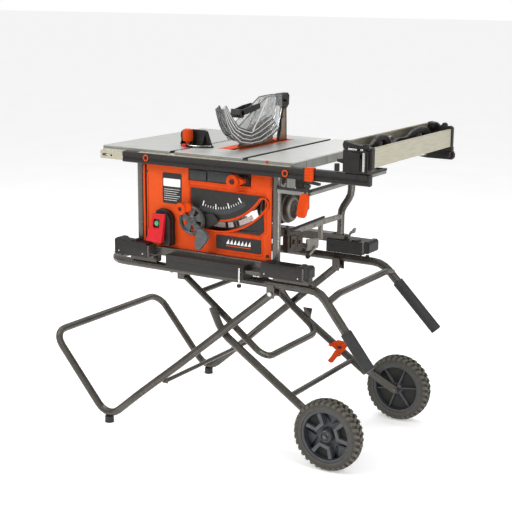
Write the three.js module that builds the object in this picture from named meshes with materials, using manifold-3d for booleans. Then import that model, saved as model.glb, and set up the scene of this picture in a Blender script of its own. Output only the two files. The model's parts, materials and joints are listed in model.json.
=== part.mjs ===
// A jobsite table saw on its folding wheeled stand. Millimetres, +Z up.
// X runs to the right along the front rail, Y runs back along the blade, and the floor is z = 0.
import * as THREE from "three";
import { mergeVertices } from "three/addons/utils/BufferGeometryUtils.js";
import Module from "manifold-3d";

const wasm = await Module();
wasm.setup();

// ---------------------------------------------------------------- driving dimensions
const GAP = 0.3; // clearance between pieces that touch
const TABLE = { left: -414, right: 290, half: 282, top: 940, plate: 11, skirt: 30, wall: 8 };
const SLOT = { left: -142, right: 126, width: 19, depth: 7 };
const THROAT = { left: -62, right: 24, front: -150, back: 200, seat: 6 };
const BLADE = { radius: 127, y: -12, z: 892, kerf: 2.4 };
const TILT = { z: 930, slotRadius: 216, slotWidth: 26 };
const WHEEL = { x: 415, z: 113, inner: 231, width: 50, rim: 84 };
const CAGE = { left: -294, right: 214, y: 241, tube: 12.5, bottom: 624.3, top: 909.7 };
const RAIL = { bottom: 895, top: 929, inner: 284, outer: 303, left: -322, right: 541 };
const PANEL = { left: -266, right: 200.5, bottom: 624.5, top: 886, front: -250, thick: 4 };
const BEAM = { left: -363, right: 340, bottom: 596, top: 624, inner: 226, outer: 264 };
const FENCE = { faceX: 474, backX: 552, front: -296, back: 293, bottom: 946, faceTop: 1020, backTop: 1002 };
const STAND = { y: 222, z: 548, tube: 14, left: -452 };
const LEG = { tube: 12.7, splay: 303, top: 217 };
const FOOT_PIVOT = { x: 191, z: 519 };
const CROSS_PIVOT = { x: 2, z: 357 };
const U_PIVOT = { x: -176, z: 519 };
const LINK_PIVOT = { x: -34, z: 415 };
const WHEEL_LEG_Y = 215;
const U_LEG_Y = 175;
const HANDWHEEL = { x: -75, z: 727, radius: 44 };

// ---------------------------------------------------------------- finishes
const finish = (color, roughness, metalness) => new THREE.MeshStandardMaterial({ color, roughness, metalness });
const FINISH = {
  table: finish(0xb9bdbb, 0.35, 0.85),
  tube: finish(0x54524f, 0.45, 0.6),
  black: finish(0x2b2a2a, 0.55, 0.1),
  orange: finish(0xe8500e, 0.5, 0.0),
  champagne: finish(0xb8b29e, 0.4, 0.7),
  steel: finish(0xa9abad, 0.3, 1.0),
  motor: finish(0x5a5a58, 0.5, 0.4),
  clear: finish(0x9aa0a2, 0.15, 0.0),
  red: finish(0xd81f2a, 0.4, 0.0),
  green: finish(0x2f9a5a, 0.4, 0.0),
  rubber: finish(0x2e2d2c, 0.85, 0.0),
  rim: finish(0x5d6164, 0.5, 0.1),
  scale: finish(0x3a3938, 0.6, 0.0),
};

// ---------------------------------------------------------------- solids
function solid(geometry) {
  const bare = geometry.index ? geometry.toNonIndexed() : geometry.clone();
  bare.deleteAttribute("normal");
  bare.deleteAttribute("uv");
  const merged = mergeVertices(bare, 1e-3);
  return new wasm.Manifold(
    new wasm.Mesh({
      numProp: 3,
      vertProperties: merged.attributes.position.array,
      triVerts: new Uint32Array(merged.index.array),
    }),
  );
}

function geometryOf(body) {
  const mesh = body.getMesh();
  return new THREE.BufferGeometry()
    .setAttribute("position", new THREE.BufferAttribute(mesh.vertProperties, 3))
    .setIndex(new THREE.BufferAttribute(mesh.triVerts, 1));
}

const join = (...pieces) => geometryOf(pieces.map(solid).reduce((a, b) => a.add(b)));
const cut = (piece, ...tools) => geometryOf([piece, ...tools].map(solid).reduce((a, b) => a.subtract(b)));

function box(x0, x1, y0, y1, z0, z1) {
  return new THREE.BoxGeometry(Math.abs(x1 - x0), Math.abs(y1 - y0), Math.abs(z1 - z0))
    .translate((x0 + x1) / 2, (y0 + y1) / 2, (z0 + z1) / 2);
}

// A round bar between two points.
function rod(radius, from, to, sides = 16) {
  const a = new THREE.Vector3(...from);
  const b = new THREE.Vector3(...to);
  const along = b.clone().sub(a);
  const turn = new THREE.Quaternion().setFromUnitVectors(new THREE.Vector3(0, 1, 0), along.clone().normalize());
  return new THREE.CylinderGeometry(radius, radius, along.length(), sides)
    .applyQuaternion(turn)
    .translate(...a.add(b).multiplyScalar(0.5).toArray());
}

// A path of straight runs with rounded corners, with a section only where the direction changes.
class BentPath extends THREE.Curve {
  constructor(corners, bends) {
    super();
    const at = corners.map((c) => new THREE.Vector3(...c));
    this.points = [at[0]];
    for (let i = 1; i < at.length - 1; i++) {
      const bendRadius = bends[i - 1] ?? bends[0];
      const back = at[i - 1].clone().sub(at[i]).normalize();
      const ahead = at[i + 1].clone().sub(at[i]).normalize();
      const half = back.angleTo(ahead) / 2;
      const reach = bendRadius / Math.tan(half);
      const start = at[i].clone().addScaledVector(back, reach);
      const end = at[i].clone().addScaledVector(ahead, reach);
      const centre = at[i].clone().addScaledVector(back.clone().add(ahead).normalize(), bendRadius / Math.sin(half));
      const turn = Math.PI - 2 * half;
      const steps = Math.max(2, Math.ceil(turn / 0.35));
      const from = start.clone().sub(centre);
      const axis = from.clone().cross(end.clone().sub(centre)).normalize();
      for (let k = 0; k <= steps; k++) {
        this.points.push(from.clone().applyAxisAngle(axis, (turn * k) / steps).add(centre));
      }
    }
    this.points.push(at[at.length - 1]);
  }
  get sections() {
    return this.points.length - 1;
  }
  getPoint(t) {
    return this.points[Math.round(t * this.sections)].clone();
  }
  getPointAt(u) {
    return this.getPoint(u);
  }
  getTangentAt(u) {
    const i = Math.round(u * this.sections);
    const before = this.points[Math.max(0, i - 1)];
    const after = this.points[Math.min(this.sections, i + 1)];
    const here = this.points[i];
    const back = i > 0 ? here.clone().sub(before).normalize() : new THREE.Vector3();
    const ahead = i < this.sections ? after.clone().sub(here).normalize() : new THREE.Vector3();
    return back.add(ahead).normalize();
  }
}

function tube(radius, corners, bends = [40], sides = 12) {
  const path = new BentPath(corners, bends);
  const circle = new THREE.Shape().absarc(0, 0, radius, 0, 2 * Math.PI);
  return new THREE.ExtrudeGeometry(circle, {
    steps: path.sections,
    extrudePath: path,
    curveSegments: sides / 2,
    bevelEnabled: false,
  });
}

const disc = (radius) => new THREE.Shape().absarc(0, 0, radius, 0, 2 * Math.PI);
const outline = (points) => new THREE.Shape(points.map((p) => new THREE.Vector2(...p)));

// A flat plate whose outline is drawn in X and Z, from y = front to y = back.
function upright(shape, front, back, segments = 12) {
  return new THREE.ExtrudeGeometry(shape, { depth: back - front, bevelEnabled: false, curveSegments: segments })
    .rotateX(Math.PI / 2)
    .translate(0, back, 0);
}

// A plate whose outline is drawn in Y and Z, from x = left to x = right.
function sideways(shape, left, right, segments = 12) {
  return new THREE.ExtrudeGeometry(shape, { depth: right - left, bevelEnabled: false, curveSegments: segments })
    .rotateX(Math.PI / 2)
    .rotateZ(Math.PI / 2)
    .translate(left, 0, 0);
}

// A turned piece: (radius, distance along) points around the Y axis.
function turned(points, segments = 32) {
  return new THREE.LatheGeometry(points.map((p) => new THREE.Vector2(...p)), segments);
}

const saw = new THREE.Group();
function add(name, geometry, material) {
  const mesh = new THREE.Mesh(geometry, material);
  mesh.name = name;
  saw.add(mesh);
  return mesh;
}


// ---------------------------------------------------------------- table
const plateBottom = TABLE.top - TABLE.plate;
const skirtBottom = TABLE.top - TABLE.skirt;
const inset = TABLE.wall;
const skirt = [
  box(TABLE.left, TABLE.right, -TABLE.half, inset - TABLE.half, skirtBottom, plateBottom + 1),
  box(TABLE.left, TABLE.right, TABLE.half - inset, TABLE.half, skirtBottom, plateBottom + 1),
  box(TABLE.left, TABLE.left + inset, -TABLE.half, TABLE.half, skirtBottom, plateBottom + 1),
  box(TABLE.right - inset, TABLE.right, -TABLE.half, TABLE.half, skirtBottom, plateBottom + 1),
];
const bosses = [CAGE.left, CAGE.right].flatMap((x) =>
  [-CAGE.y, CAGE.y].map((y) => box(x - 18, x + 18, y - 18, y + 18, skirtBottom, plateBottom + 1)),
);
const slots = [SLOT.left, SLOT.right].map((x) =>
  box(x - SLOT.width / 2, x + SLOT.width / 2, -TABLE.half - 1, TABLE.half + 1, TABLE.top - SLOT.depth, TABLE.top + 1),
);
const throatSeat = box(THROAT.left, THROAT.right, THROAT.front, THROAT.back, TABLE.top - THROAT.seat, TABLE.top + 1);
const throatHole = box(
  THROAT.left + 6, THROAT.right - 6, THROAT.front + 6, THROAT.back - 6, plateBottom - 1, TABLE.top + 1,
);
add("table_top", cut(
  join(box(TABLE.left, TABLE.right, -TABLE.half, TABLE.half, plateBottom, TABLE.top), ...skirt, ...bosses),
  ...slots, throatSeat, throatHole,
), FINISH.table);

// The blade, knife and guard arms pass through one long slot that is wider on the side the blade tilts to.
const throatSlot = box(-18, 7, BLADE.y - BLADE.radius - 8, THROAT.back - 7, TABLE.top - 20, TABLE.top + 1);
add("throat_plate", cut(
  box(THROAT.left + GAP, THROAT.right - GAP, THROAT.front + GAP, THROAT.back - GAP,
    TABLE.top - THROAT.seat + GAP, TABLE.top - 0.2),
  throatSlot,
), FINISH.orange);

// ---------------------------------------------------------------- cage, panel and switch
for (const [name, x, y] of [
  ["cage_tube_front_left", CAGE.left, -CAGE.y],
  ["cage_tube_front_right", CAGE.right, -CAGE.y],
  ["cage_tube_rear_left", CAGE.left, CAGE.y],
]) {
  add(name, rod(CAGE.tube, [x, y, CAGE.bottom], [x, y, CAGE.top]), FINISH.tube);
}
const kink = { low: 706, high: 762, x: 185 };
add("cage_tube_rear_right", tube(CAGE.tube, [
  [kink.x, CAGE.y, CAGE.bottom], [kink.x, CAGE.y, kink.low], [CAGE.right + 8, CAGE.y, kink.high],
  [CAGE.right + 8, CAGE.y, CAGE.top],
], [60]), FINISH.tube);

// The slot that the handwheel shaft swings along when the blade tilts: an arc about the tilt axis.
const slotAngle = { from: -1.99, to: -0.6 };
function arcSlot(radius, halfWidth, from, to) {
  const shape = new THREE.Shape();
  shape.absarc(0, TILT.z, radius + halfWidth, from, to, false);
  shape.absarc(radius * Math.cos(to), TILT.z + radius * Math.sin(to), halfWidth, to, to + Math.PI, false);
  shape.absarc(0, TILT.z, radius - halfWidth, to, from, true);
  shape.absarc(radius * Math.cos(from), TILT.z + radius * Math.sin(from), halfWidth, from + Math.PI, from + 2 * Math.PI);
  return shape;
}
const panelSlot = upright(
  arcSlot(TILT.slotRadius, TILT.slotWidth / 2, slotAngle.from, slotAngle.to), -400, -100, 14,
);
const notch = { left: -104, right: 127, bottom: 849 };
const panelShape = outline([
  [PANEL.left, PANEL.bottom], [PANEL.right, PANEL.bottom], [PANEL.right, PANEL.top], [notch.right, PANEL.top],
  [notch.right, notch.bottom], [notch.left, notch.bottom], [notch.left, PANEL.top], [PANEL.left, PANEL.top],
]);
const panelBack = PANEL.front + PANEL.thick;
add("front_panel", cut(upright(panelShape, PANEL.front, panelBack), panelSlot), FINISH.orange);

const SWITCH = { left: -222, right: -169, bottom: 636, top: 728, front: -270 };
const switchShape = new THREE.Shape();
switchShape.moveTo(SWITCH.left, SWITCH.bottom);
switchShape.lineTo(SWITCH.right, SWITCH.bottom);
switchShape.lineTo(SWITCH.right, SWITCH.top - 20);
switchShape.absarc(SWITCH.right - 20, SWITCH.top - 20, 20, 0, Math.PI / 2, false);
switchShape.lineTo(SWITCH.left, SWITCH.top);
const BUTTON = { x: -203, z: 704, radius: 7, travel: 4, front: -282 };
const buttonWell = rod(BUTTON.radius + 0.5, [BUTTON.x, -300, BUTTON.z], [BUTTON.x, -258, BUTTON.z]);
add("switch_housing", cut(upright(switchShape, SWITCH.front, PANEL.front - GAP, 6), buttonWell), FINISH.black);
add("start_button", rod(BUTTON.radius, [BUTTON.x, BUTTON.front, BUTTON.z], [BUTTON.x, -264, BUTTON.z]), FINISH.green);
const PADDLE = { left: -232, right: -183, bottom: 634, top: 727, front: -284, back: -276 };
const paddleHole = rod(10, [BUTTON.x, -300, BUTTON.z], [BUTTON.x, -260, BUTTON.z]);
const paddleEars = [PADDLE.left, PADDLE.right - 8].map((x) => box(x, x + 8, PADDLE.back - 1, -270.3, 719, 727));
add("stop_paddle", cut(
  join(box(PADDLE.left, PADDLE.right, PADDLE.front, PADDLE.back, PADDLE.bottom, PADDLE.top), ...paddleEars),
  paddleHole,
), FINISH.red);

// A lever with a round knob, standing off the panel: a flat arm from the pivot to the knob.
function knobLever(pivot, knob, arm, knobFront, radius) {
  const armPlate = [pivot, knob].map((p) => upright(disc(11).clone(), arm[0], arm[1]).translate(p[0], 0, p[1]));
  const dx = knob[0] - pivot[0];
  const dz = knob[1] - pivot[1];
  const bar = new THREE.BoxGeometry(Math.hypot(dx, dz), arm[1] - arm[0], 16)
    .rotateY(-Math.atan2(dz, dx))
    .translate((pivot[0] + knob[0]) / 2, (arm[0] + arm[1]) / 2, (pivot[1] + knob[1]) / 2);
  return join(bar, ...armPlate, rod(radius, [knob[0], knobFront, knob[1]], [knob[0], arm[1], knob[1]], 20));
}
add("rail_lock_lever", knobLever([98, 862], [58, 855], [-262, PANEL.front - 2.3], -280, 15), FINISH.orange);

// ---------------------------------------------------------------- rails, the same at the front and the rear
const innerRail = { near: TABLE.half + GAP, far: 299, bottom: 899, top: 925 };
for (const [side, end] of [[-1, "front"], [1, "rear"]]) {
  const keyhole = [
    box(-406, -386, side * 270, side * 310, 908, 916),
    rod(4, [-370, side * 270, 911], [-370, side * 310, 911], 12),
  ];
  add("fixed_rail_" + end, cut(
    box(TABLE.left, TABLE.right, side * innerRail.near, side * innerRail.far, innerRail.bottom, innerRail.top),
    ...keyhole,
  ), FINISH.champagne);
  const pocket = box(
    RAIL.left - 1, RAIL.right - 3, side * (RAIL.inner - 1), side * (innerRail.far + GAP),
    innerRail.bottom - GAP, innerRail.top + GAP,
  );
  add("sliding_rail_" + end, cut(
    box(RAIL.left, RAIL.right, side * RAIL.inner, side * RAIL.outer, RAIL.bottom, RAIL.top), pocket,
  ), FINISH.black);
}
const CLAMP = { x: 355, half: 15, front: -311 };
add("rail_clamp", join(
  box(CLAMP.x - CLAMP.half, CLAMP.x + CLAMP.half, CLAMP.front, -RAIL.outer - GAP, 887, 928.5),
  box(CLAMP.x - CLAMP.half, CLAMP.x + CLAMP.half, CLAMP.front, -RAIL.inner, 887, RAIL.bottom - GAP),
), FINISH.orange);
const LEVER = { x: 349, top: 880, y: -306 };
add("rail_clamp_lever", join(
  rod(5, [LEVER.x - 8, LEVER.y, LEVER.top], [LEVER.x + 8, LEVER.y, LEVER.top], 12),
  box(LEVER.x - 4, LEVER.x + 4, LEVER.y - 3, LEVER.y + 3, 838, LEVER.top),
  upright(outline([[-12, -72], [10, -74], [19, 0], [2, 4]]), LEVER.y - 7, LEVER.y + 7).translate(LEVER.x - 8, 0, 842),
), FINISH.orange);

// ---------------------------------------------------------------- fence, parked at the end of the rails
const wall = 5;
add("fence_channel", upright(outline([
  [FENCE.faceX, FENCE.bottom], [FENCE.backX, FENCE.bottom], [FENCE.backX, FENCE.backTop],
  [FENCE.backX - wall, FENCE.backTop], [FENCE.backX - wall, FENCE.bottom + 3],
  [FENCE.faceX + wall, FENCE.bottom + 3], [FENCE.faceX + wall, FENCE.faceTop], [FENCE.faceX, FENCE.faceTop],
]), FENCE.front + 12, FENCE.back - 12), FINISH.champagne);
const headLeft = FENCE.faceX - 6;
const headRight = FENCE.backX + 4;
const leverPocket = box(484, 524, -340, -309.4, 920, 993.5);
add("fence_head", cut(join(
  box(headLeft, headRight, -318, FENCE.front + 12 - GAP, RAIL.top + 2.4, 1000),
  upright(outline([[headLeft, 995], [headRight, 995], [headRight, 1004], [headLeft, 1022]]), -310, -284.3),
  box(headLeft - 24, headLeft + 1, -312, -296, 933, 962),
), leverPocket), FINISH.black);
add("fence_lock_lever", join(
  box(486, 522, -321, -312, 936, 990),
  rod(5, [484.5, -317, 985], [523.5, -317, 985], 12),
), FINISH.black);
add("fence_end_cap", join(
  upright(outline([
    [FENCE.faceX, FENCE.bottom], [FENCE.backX, FENCE.bottom], [FENCE.backX, FENCE.backTop], [FENCE.faceX, FENCE.faceTop],
  ]), FENCE.back - 12 + GAP, 300),
  box(FENCE.faceX, FENCE.backX, 286, 300, RAIL.top + 0.4, FENCE.bottom + 1),
), FINISH.black);
const stick = new THREE.Shape();
stick.moveTo(-278, 952);
stick.lineTo(214, 952);
stick.lineTo(224, 972);
stick.quadraticCurveTo(214, 1018, 127, 1019);
stick.quadraticCurveTo(80, 1017, 15, 1001);
stick.lineTo(-36, 1004);
stick.lineTo(-85, 992);
stick.quadraticCurveTo(-120, 1026, -162, 1023);
stick.quadraticCurveTo(-210, 1018, -230, 1000);
stick.lineTo(-278, 998);
add("push_stick", sideways(stick, 504, 515, 6), FINISH.black);

// ---------------------------------------------------------------- mitre gauge in the left slot
const barTop = TABLE.top - GAP;
add("mitre_bar", box(SLOT.left - 9.2, SLOT.left + 9.2, -262, 180, TABLE.top - SLOT.depth + GAP, barTop), FINISH.steel);
const MITRE = { front: -176, plate: -146, back: -137, base: 947, top: 992 };
const knobAt = { x: -166, y: -162 };
add("mitre_head", cut(join(
  upright(outline([
    [-203, TABLE.top + GAP], [-82, TABLE.top + GAP], [-106, MITRE.top], [-192, MITRE.top], [-203, MITRE.top - 12],
  ]), MITRE.plate, MITRE.back),
  box(-196, -88, MITRE.front, MITRE.plate + 1, TABLE.top + GAP, MITRE.base),
), rod(4, [knobAt.x, knobAt.y, 930], [knobAt.x, knobAt.y, 950], 12)), FINISH.black);
add("mitre_knob", join(
  rod(14, [knobAt.x, knobAt.y, MITRE.base + GAP], [knobAt.x, knobAt.y, 997], 20),
  rod(3.7, [knobAt.x, knobAt.y, TABLE.top + GAP], [knobAt.x, knobAt.y, 960], 12),
), FINISH.orange);

// ---------------------------------------------------------------- tilting cradle under the table
const cradleShape = () => outline([
  [-110, 905], [-8, 905], [70, 826], [70, 700], [50, 680], [-110, 680],
]);
const SHAFT = { radius: 8, front: -266 };
const shaftHole = rod(SHAFT.radius + GAP, [HANDWHEEL.x, -300, HANDWHEEL.z], [HANDWHEEL.x, -150, HANDWHEEL.z]);
const POST = { x: -66, y: 150, radius: 9 };
const posts = [-POST.y, POST.y].map((y) => rod(POST.radius, [POST.x, y, 650], [POST.x, y, 900]));
const postFeet = [-1, 1].map((s) => box(-78, -54, s * (POST.y - 12), s * 226, 645, 660));
const cradle = join(
  upright(cradleShape(), -227, -220.5),
  upright(cradleShape(), 220.5, 227),
  box(-110, -98, -227, 227, 690, 706),
  box(-110, -54, -227, -220, 645, 700),
  box(-110, -54, 220, 227, 645, 700),
  ...postFeet,
  ...posts,
);
const dustHole = rod(28, [-8, 200, 760], [-8, 290, 760], 24);
const dustPort = rod(32, [-8, 225, 760], [-8, 278, 760], 24);
add("tilt_cradle", cut(join(cradle, dustPort), shaftHole, dustHole), FINISH.tube);
const trunnion = () => outline([[-96, 928.7], [-96, 880], [-60, 858], [60, 858], [96, 880], [96, 928.7]]);
const coverPlate = box(notch.left - 6, notch.right + 6, panelBack + GAP, panelBack + 3, notch.bottom - 6, 909.6);
add("front_trunnion", join(
  coverPlate, upright(trunnion(), -233, -227 - GAP), box(-96, 96, -248, -228, 900, 909.6),
), FINISH.scale);
add("rear_trunnion", upright(trunnion(), 227 + GAP, 233), FINISH.tube);

const spokes = [0, 1, 2].map((k) =>
  new THREE.BoxGeometry(HANDWHEEL.radius - 4, 7, 9)
    .translate((HANDWHEEL.radius - 4) / 2, 0, 0)
    .rotateY((-2 * Math.PI * k) / 3 - 0.6)
    .translate(HANDWHEEL.x, -271.5, HANDWHEEL.z),
);
const rimRing = turned([[36, -5], [42, -5], [44, -3], [44, 3], [42, 5], [36, 5], [36, -5]], 36)
  .translate(HANDWHEEL.x, -271.5, HANDWHEEL.z);
add("handwheel", join(
  rimRing, ...spokes,
  rod(13, [HANDWHEEL.x, -277, HANDWHEEL.z], [HANDWHEEL.x, SHAFT.front, HANDWHEEL.z], 20),
  rod(SHAFT.radius, [HANDWHEEL.x, -277, HANDWHEEL.z], [HANDWHEEL.x, -190, HANDWHEEL.z]),
  rod(6, [-42, -281.5, 702], [-42, -268, 702], 12),
), FINISH.rim);
add("crank_grip", upright(outline([
  [-50, 712], [-33, 712], [-27, 700], [-33, 664], [-44, 640], [-56, 641], [-58, 656], [-52, 690],
]), -296, -281.5 - GAP), FINISH.rim);
add("bevel_lock_lever", cut(
  knobLever([HANDWHEEL.x, HANDWHEEL.z], [-128, 756], [-264.5, -257], -280.5, 14), shaftHole,
), FINISH.orange);

// ---------------------------------------------------------------- the lifting carriage: motor, blade and riving knife
const MOTOR = { y: 20, z: 738, radius: 46, from: 22.3, to: 128 };
const sleeves = [-POST.y, POST.y].map((y) => box(-80, -48, y - 16, y + 16, 742, 795));
const sleeveHoles = [-POST.y, POST.y].map((y) => rod(POST.radius + GAP, [POST.x, y, 700], [POST.x, y, 900]));
add("lift_carriage", cut(join(
  ...sleeves,
  box(-62, -50, -140, 140, 742, 751),
  box(-60, 12.7, 10, 50, 730, 748),
  box(-56, -48, 142, 166, 742, 874),
  box(-50, -1.4, 144, 162, 852, 874),
), ...sleeveHoles), FINISH.motor);
const capsule = new THREE.Shape();
capsule.absarc(BLADE.y, BLADE.z, 12, 0, Math.PI, false);
capsule.lineTo(MOTOR.y - 46, MOTOR.z);
capsule.absarc(MOTOR.y, MOTOR.z, 46, Math.PI, 2 * Math.PI, false);
add("belt_cover", cut(
  sideways(capsule, 13, 22, 10), rod(9, [0, BLADE.y, BLADE.z], [40, BLADE.y, BLADE.z]),
), FINISH.black);
add("motor", join(
  rod(MOTOR.radius, [MOTOR.from, MOTOR.y, MOTOR.z], [MOTOR.to, MOTOR.y, MOTOR.z], 28),
  rod(38, [MOTOR.to - 1, MOTOR.y, MOTOR.z], [136, MOTOR.y, MOTOR.z], 28),
  box(40, 100, MOTOR.y - 34, MOTOR.y + 34, 688, 700),
), FINISH.motor);
const shroudOuter = box(-27, 12.7, -150, 138, 752, 868);
const shroudInner = box(-24.5, 10, -147, 135.5, 754.5, 880);
add("blade_shroud", cut(
  shroudOuter, shroudInner, rod(26, [0, BLADE.y, BLADE.z], [20, BLADE.y, BLADE.z], 20),
  rod(30, [-40, BLADE.y, BLADE.z], [-10, BLADE.y, BLADE.z], 20),
  rod(27, [-8, 120, 792], [-8, 150, 792], 20),
), FINISH.black);
const knife = new THREE.Shape();
knife.moveTo(141, 850);
knife.lineTo(160, 850);
knife.lineTo(184, 934);
knife.lineTo(180, 1040);
knife.lineTo(181, 1086);
knife.lineTo(150, 1094);
knife.lineTo(132, 1060);
knife.quadraticCurveTo(126, 1000, 114, 940);
knife.quadraticCurveTo(121, 900, 132, 878);
knife.lineTo(141, 872);
const PAWL = { y: 152, z: 1012, pin: 3 };
add("riving_knife", cut(
  sideways(knife, -1.1, 1.1, 6), rod(PAWL.pin + GAP, [-5, PAWL.y, PAWL.z], [5, PAWL.y, PAWL.z], 12),
), FINISH.motor);

const TEETH = 40;
const bladeShape = outline(Array.from({ length: TEETH * 2 }, (_, i) => {
  const tip = i % 2 === 0;
  const angle = (Math.PI * (i + (tip ? 0 : -0.55))) / TEETH;
  const r = BLADE.radius - (tip ? 0 : 8);
  return [r * Math.cos(angle), r * Math.sin(angle)];
}));
add("blade", cut(
  sideways(bladeShape, -BLADE.kerf / 2, BLADE.kerf / 2).translate(0, BLADE.y, BLADE.z),
  rod(8, [-5, BLADE.y, BLADE.z], [5, BLADE.y, BLADE.z]),
), FINISH.steel);
add("arbor", join(
  rod(7.7, [-16, BLADE.y, BLADE.z], [20, BLADE.y, BLADE.z]),
  rod(21, [1.5, BLADE.y, BLADE.z], [7, BLADE.y, BLADE.z], 24),
  rod(21, [-6, BLADE.y, BLADE.z], [-1.5, BLADE.y, BLADE.z], 24),
  rod(12, [-14, BLADE.y, BLADE.z], [-5, BLADE.y, BLADE.z], 6),
), FINISH.steel);

// ---------------------------------------------------------------- guard
const GUARD = { y: 152, z: 1074 };
add("guard_mount", join(
  cut(sideways(outline([[118, 1060], [170, 1048], [183, 1060], [185, 1088], [176, 1098], [120, 1098]]), -8.5, 8.5),
    box(-1.1 - GAP, 1.1 + GAP, 100, 200, 1000, 1096)),
  rod(4, [1.1 + GAP, GUARD.y, GUARD.z], [20, GUARD.y, GUARD.z], 12),
  rod(4, [-20, GUARD.y, GUARD.z], [-1.1 - GAP, GUARD.y, GUARD.z], 12),
), FINISH.black);
function shieldShape(low) {
  const shape = new THREE.Shape();
  shape.moveTo(-232, 1076);
  shape.quadraticCurveTo(-212, 990, -130, Math.max(958, low));
  shape.quadraticCurveTo(-105, low, -70, low);
  shape.lineTo(0, low);
  shape.lineTo(60, low + 14);
  shape.quadraticCurveTo(106, 978, 112, 1010);
  shape.lineTo(168, 1052);
  shape.lineTo(166, 1092);
  shape.lineTo(25, 1094);
  shape.lineTo(-47, 1061);
  shape.lineTo(-145, 1012);
  shape.lineTo(-214, 1084);
  return shape;
}
const pivotHole = rod(4 + GAP, [-40, GUARD.y, GUARD.z], [40, GUARD.y, GUARD.z], 12);
add("guard_shield_right", cut(sideways(shieldShape(948), 10, 13, 6), pivotHole), FINISH.clear);
add("guard_shield_left", cut(sideways(shieldShape(963), -13, -10, 6), pivotHole), FINISH.clear);
add("guard_front_bar", join(
  box(-18.5, -13 - GAP, -128, 70, 1047, 1061),
  box(13 + GAP, 18.5, -128, 70, 1047, 1061),
  box(-18.5, 18.5, -140, -126, 1043, 1066),
), FINISH.black);
const pawlShape = outline([[141, 1014], [158, 1020], [162, 1006], [150, 975], [134, 957], [140, 985]]);
add("kickback_pawls", join(
  sideways(pawlShape, 2.4, 5.4),
  sideways(pawlShape, -5.4, -2.4),
  rod(PAWL.pin, [-6, PAWL.y, PAWL.z], [6, PAWL.y, PAWL.z], 10),
), FINISH.motor);

// ---------------------------------------------------------------- braces on the right side of the cage
const BRACE = { right: 338, y: 264, thick: 6, bottom: 840, top: 860 };
add("side_brace", join(
  box(BRACE.right - BRACE.thick, BRACE.right, -BRACE.y, BRACE.y, BRACE.bottom, BRACE.top),
  ...[-1, 1].map((s) =>
    box(CAGE.right - 9, BRACE.right, s * (BRACE.y - BRACE.thick), s * BRACE.y, BRACE.bottom, BRACE.top)),
  ...[-1, 1].map((s) =>
    box(CAGE.right - 6, CAGE.right + 14, s * (CAGE.y + CAGE.tube + GAP), s * BRACE.y, BRACE.bottom, BRACE.top)),
), FINISH.tube);
add("side_arm", join(
  box(183, 199, -116, 222, 680, 694),
  box(186, 196, -100, 40, 694, 701),
  box(180, 202, -150, -60, 640, 672),
  box(184, 198, -112, -100, 660, 690),
  box(184, 198, 60, 72, 636, 685),
), FINISH.motor);

// ---------------------------------------------------------------- saddles that carry the cage on the stand
const saddleFloor = STAND.z + STAND.tube + GAP;
add("saddle_front", join(
  box(BEAM.left, BEAM.right, -BEAM.outer, -BEAM.inner, BEAM.bottom, BEAM.top),
  box(BEAM.left, -235, -299, -262, 590, 640),
  box(-159, 131, -299, -240, 566, 611),
  box(192, BEAM.right, -299, -256, 588, 631),
  box(-345, -240, -240, -210, saddleFloor, 600),
  box(200, 325, -240, -210, saddleFloor, 600),
), FINISH.black);
add("saddle_rear", join(
  box(BEAM.left, 210, BEAM.inner, BEAM.outer, BEAM.bottom, BEAM.top),
  box(BEAM.left, -235, 262, 299, 590, 640),
  box(142, 305, 218, 296, saddleFloor, 607),
  box(-345, -240, 210, 240, saddleFloor, 600),
), FINISH.black);

// ---------------------------------------------------------------- stand: the frame the saw rests on
const handleEnd = { x: 541, y: 251, z: 342 };
const bendAt = { x: 355, y: STAND.y };
const frameTube = tube(STAND.tube, [
  [handleEnd.x, -handleEnd.y, handleEnd.z], [bendAt.x, -bendAt.y, STAND.z], [STAND.left, -STAND.y, STAND.z],
  [STAND.left, STAND.y, STAND.z], [bendAt.x, bendAt.y, STAND.z], [handleEnd.x, handleEnd.y, handleEnd.z],
], [76, 70, 70, 76]);
const bow = tube(11, [
  [388, -228, 519], [392, -165, 534], [392, 165, 534], [388, 228, 519],
], [100, 100]);
const footPivotEars = [-1, 1].flatMap((s) => [
  box(178, 204, s * 197, s * 201, 505, 548),
  box(178, 204, s * 234, s * 238, 505, 548),
  box(178, 204, s * 197, s * 238, 542, 548),
  rod(5, [FOOT_PIVOT.x, s * 196, FOOT_PIVOT.z], [FOOT_PIVOT.x, s * 239, FOOT_PIVOT.z], 12),
]);
const linkEars = [-1, 1].flatMap((s) => [
  box(U_PIVOT.x - 13, U_PIVOT.x + 13, s * 157, s * 161, 506, 548),
  box(U_PIVOT.x - 13, U_PIVOT.x + 13, s * 189, s * 193, 506, 548),
  rod(5, [U_PIVOT.x, s * 156, U_PIVOT.z], [U_PIVOT.x, s * 194, U_PIVOT.z], 12),
]);
const crossTube = rod(11, [U_PIVOT.x, -STAND.y, STAND.z], [U_PIVOT.x, STAND.y, STAND.z], 12);
add("stand_frame", join(frameTube, bow, ...footPivotEars, ...linkEars, crossTube), FINISH.tube);
const handleLine = new THREE.Vector3(handleEnd.x - bendAt.x, handleEnd.y - bendAt.y, handleEnd.z - STAND.z)
  .normalize();
for (const [side, end, length] of [[-1, "front", 128], [1, "rear", 200]]) {
  const along = (d) => [
    handleEnd.x + handleLine.x * d, side * (handleEnd.y + handleLine.y * d), handleEnd.z + handleLine.z * d,
  ];
  add("handle_grip_" + end, cut(
    rod(18, along(-length), along(5), 20), rod(STAND.tube + GAP, along(-length - 1), along(1), 20),
  ), FINISH.rubber);
}

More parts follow.
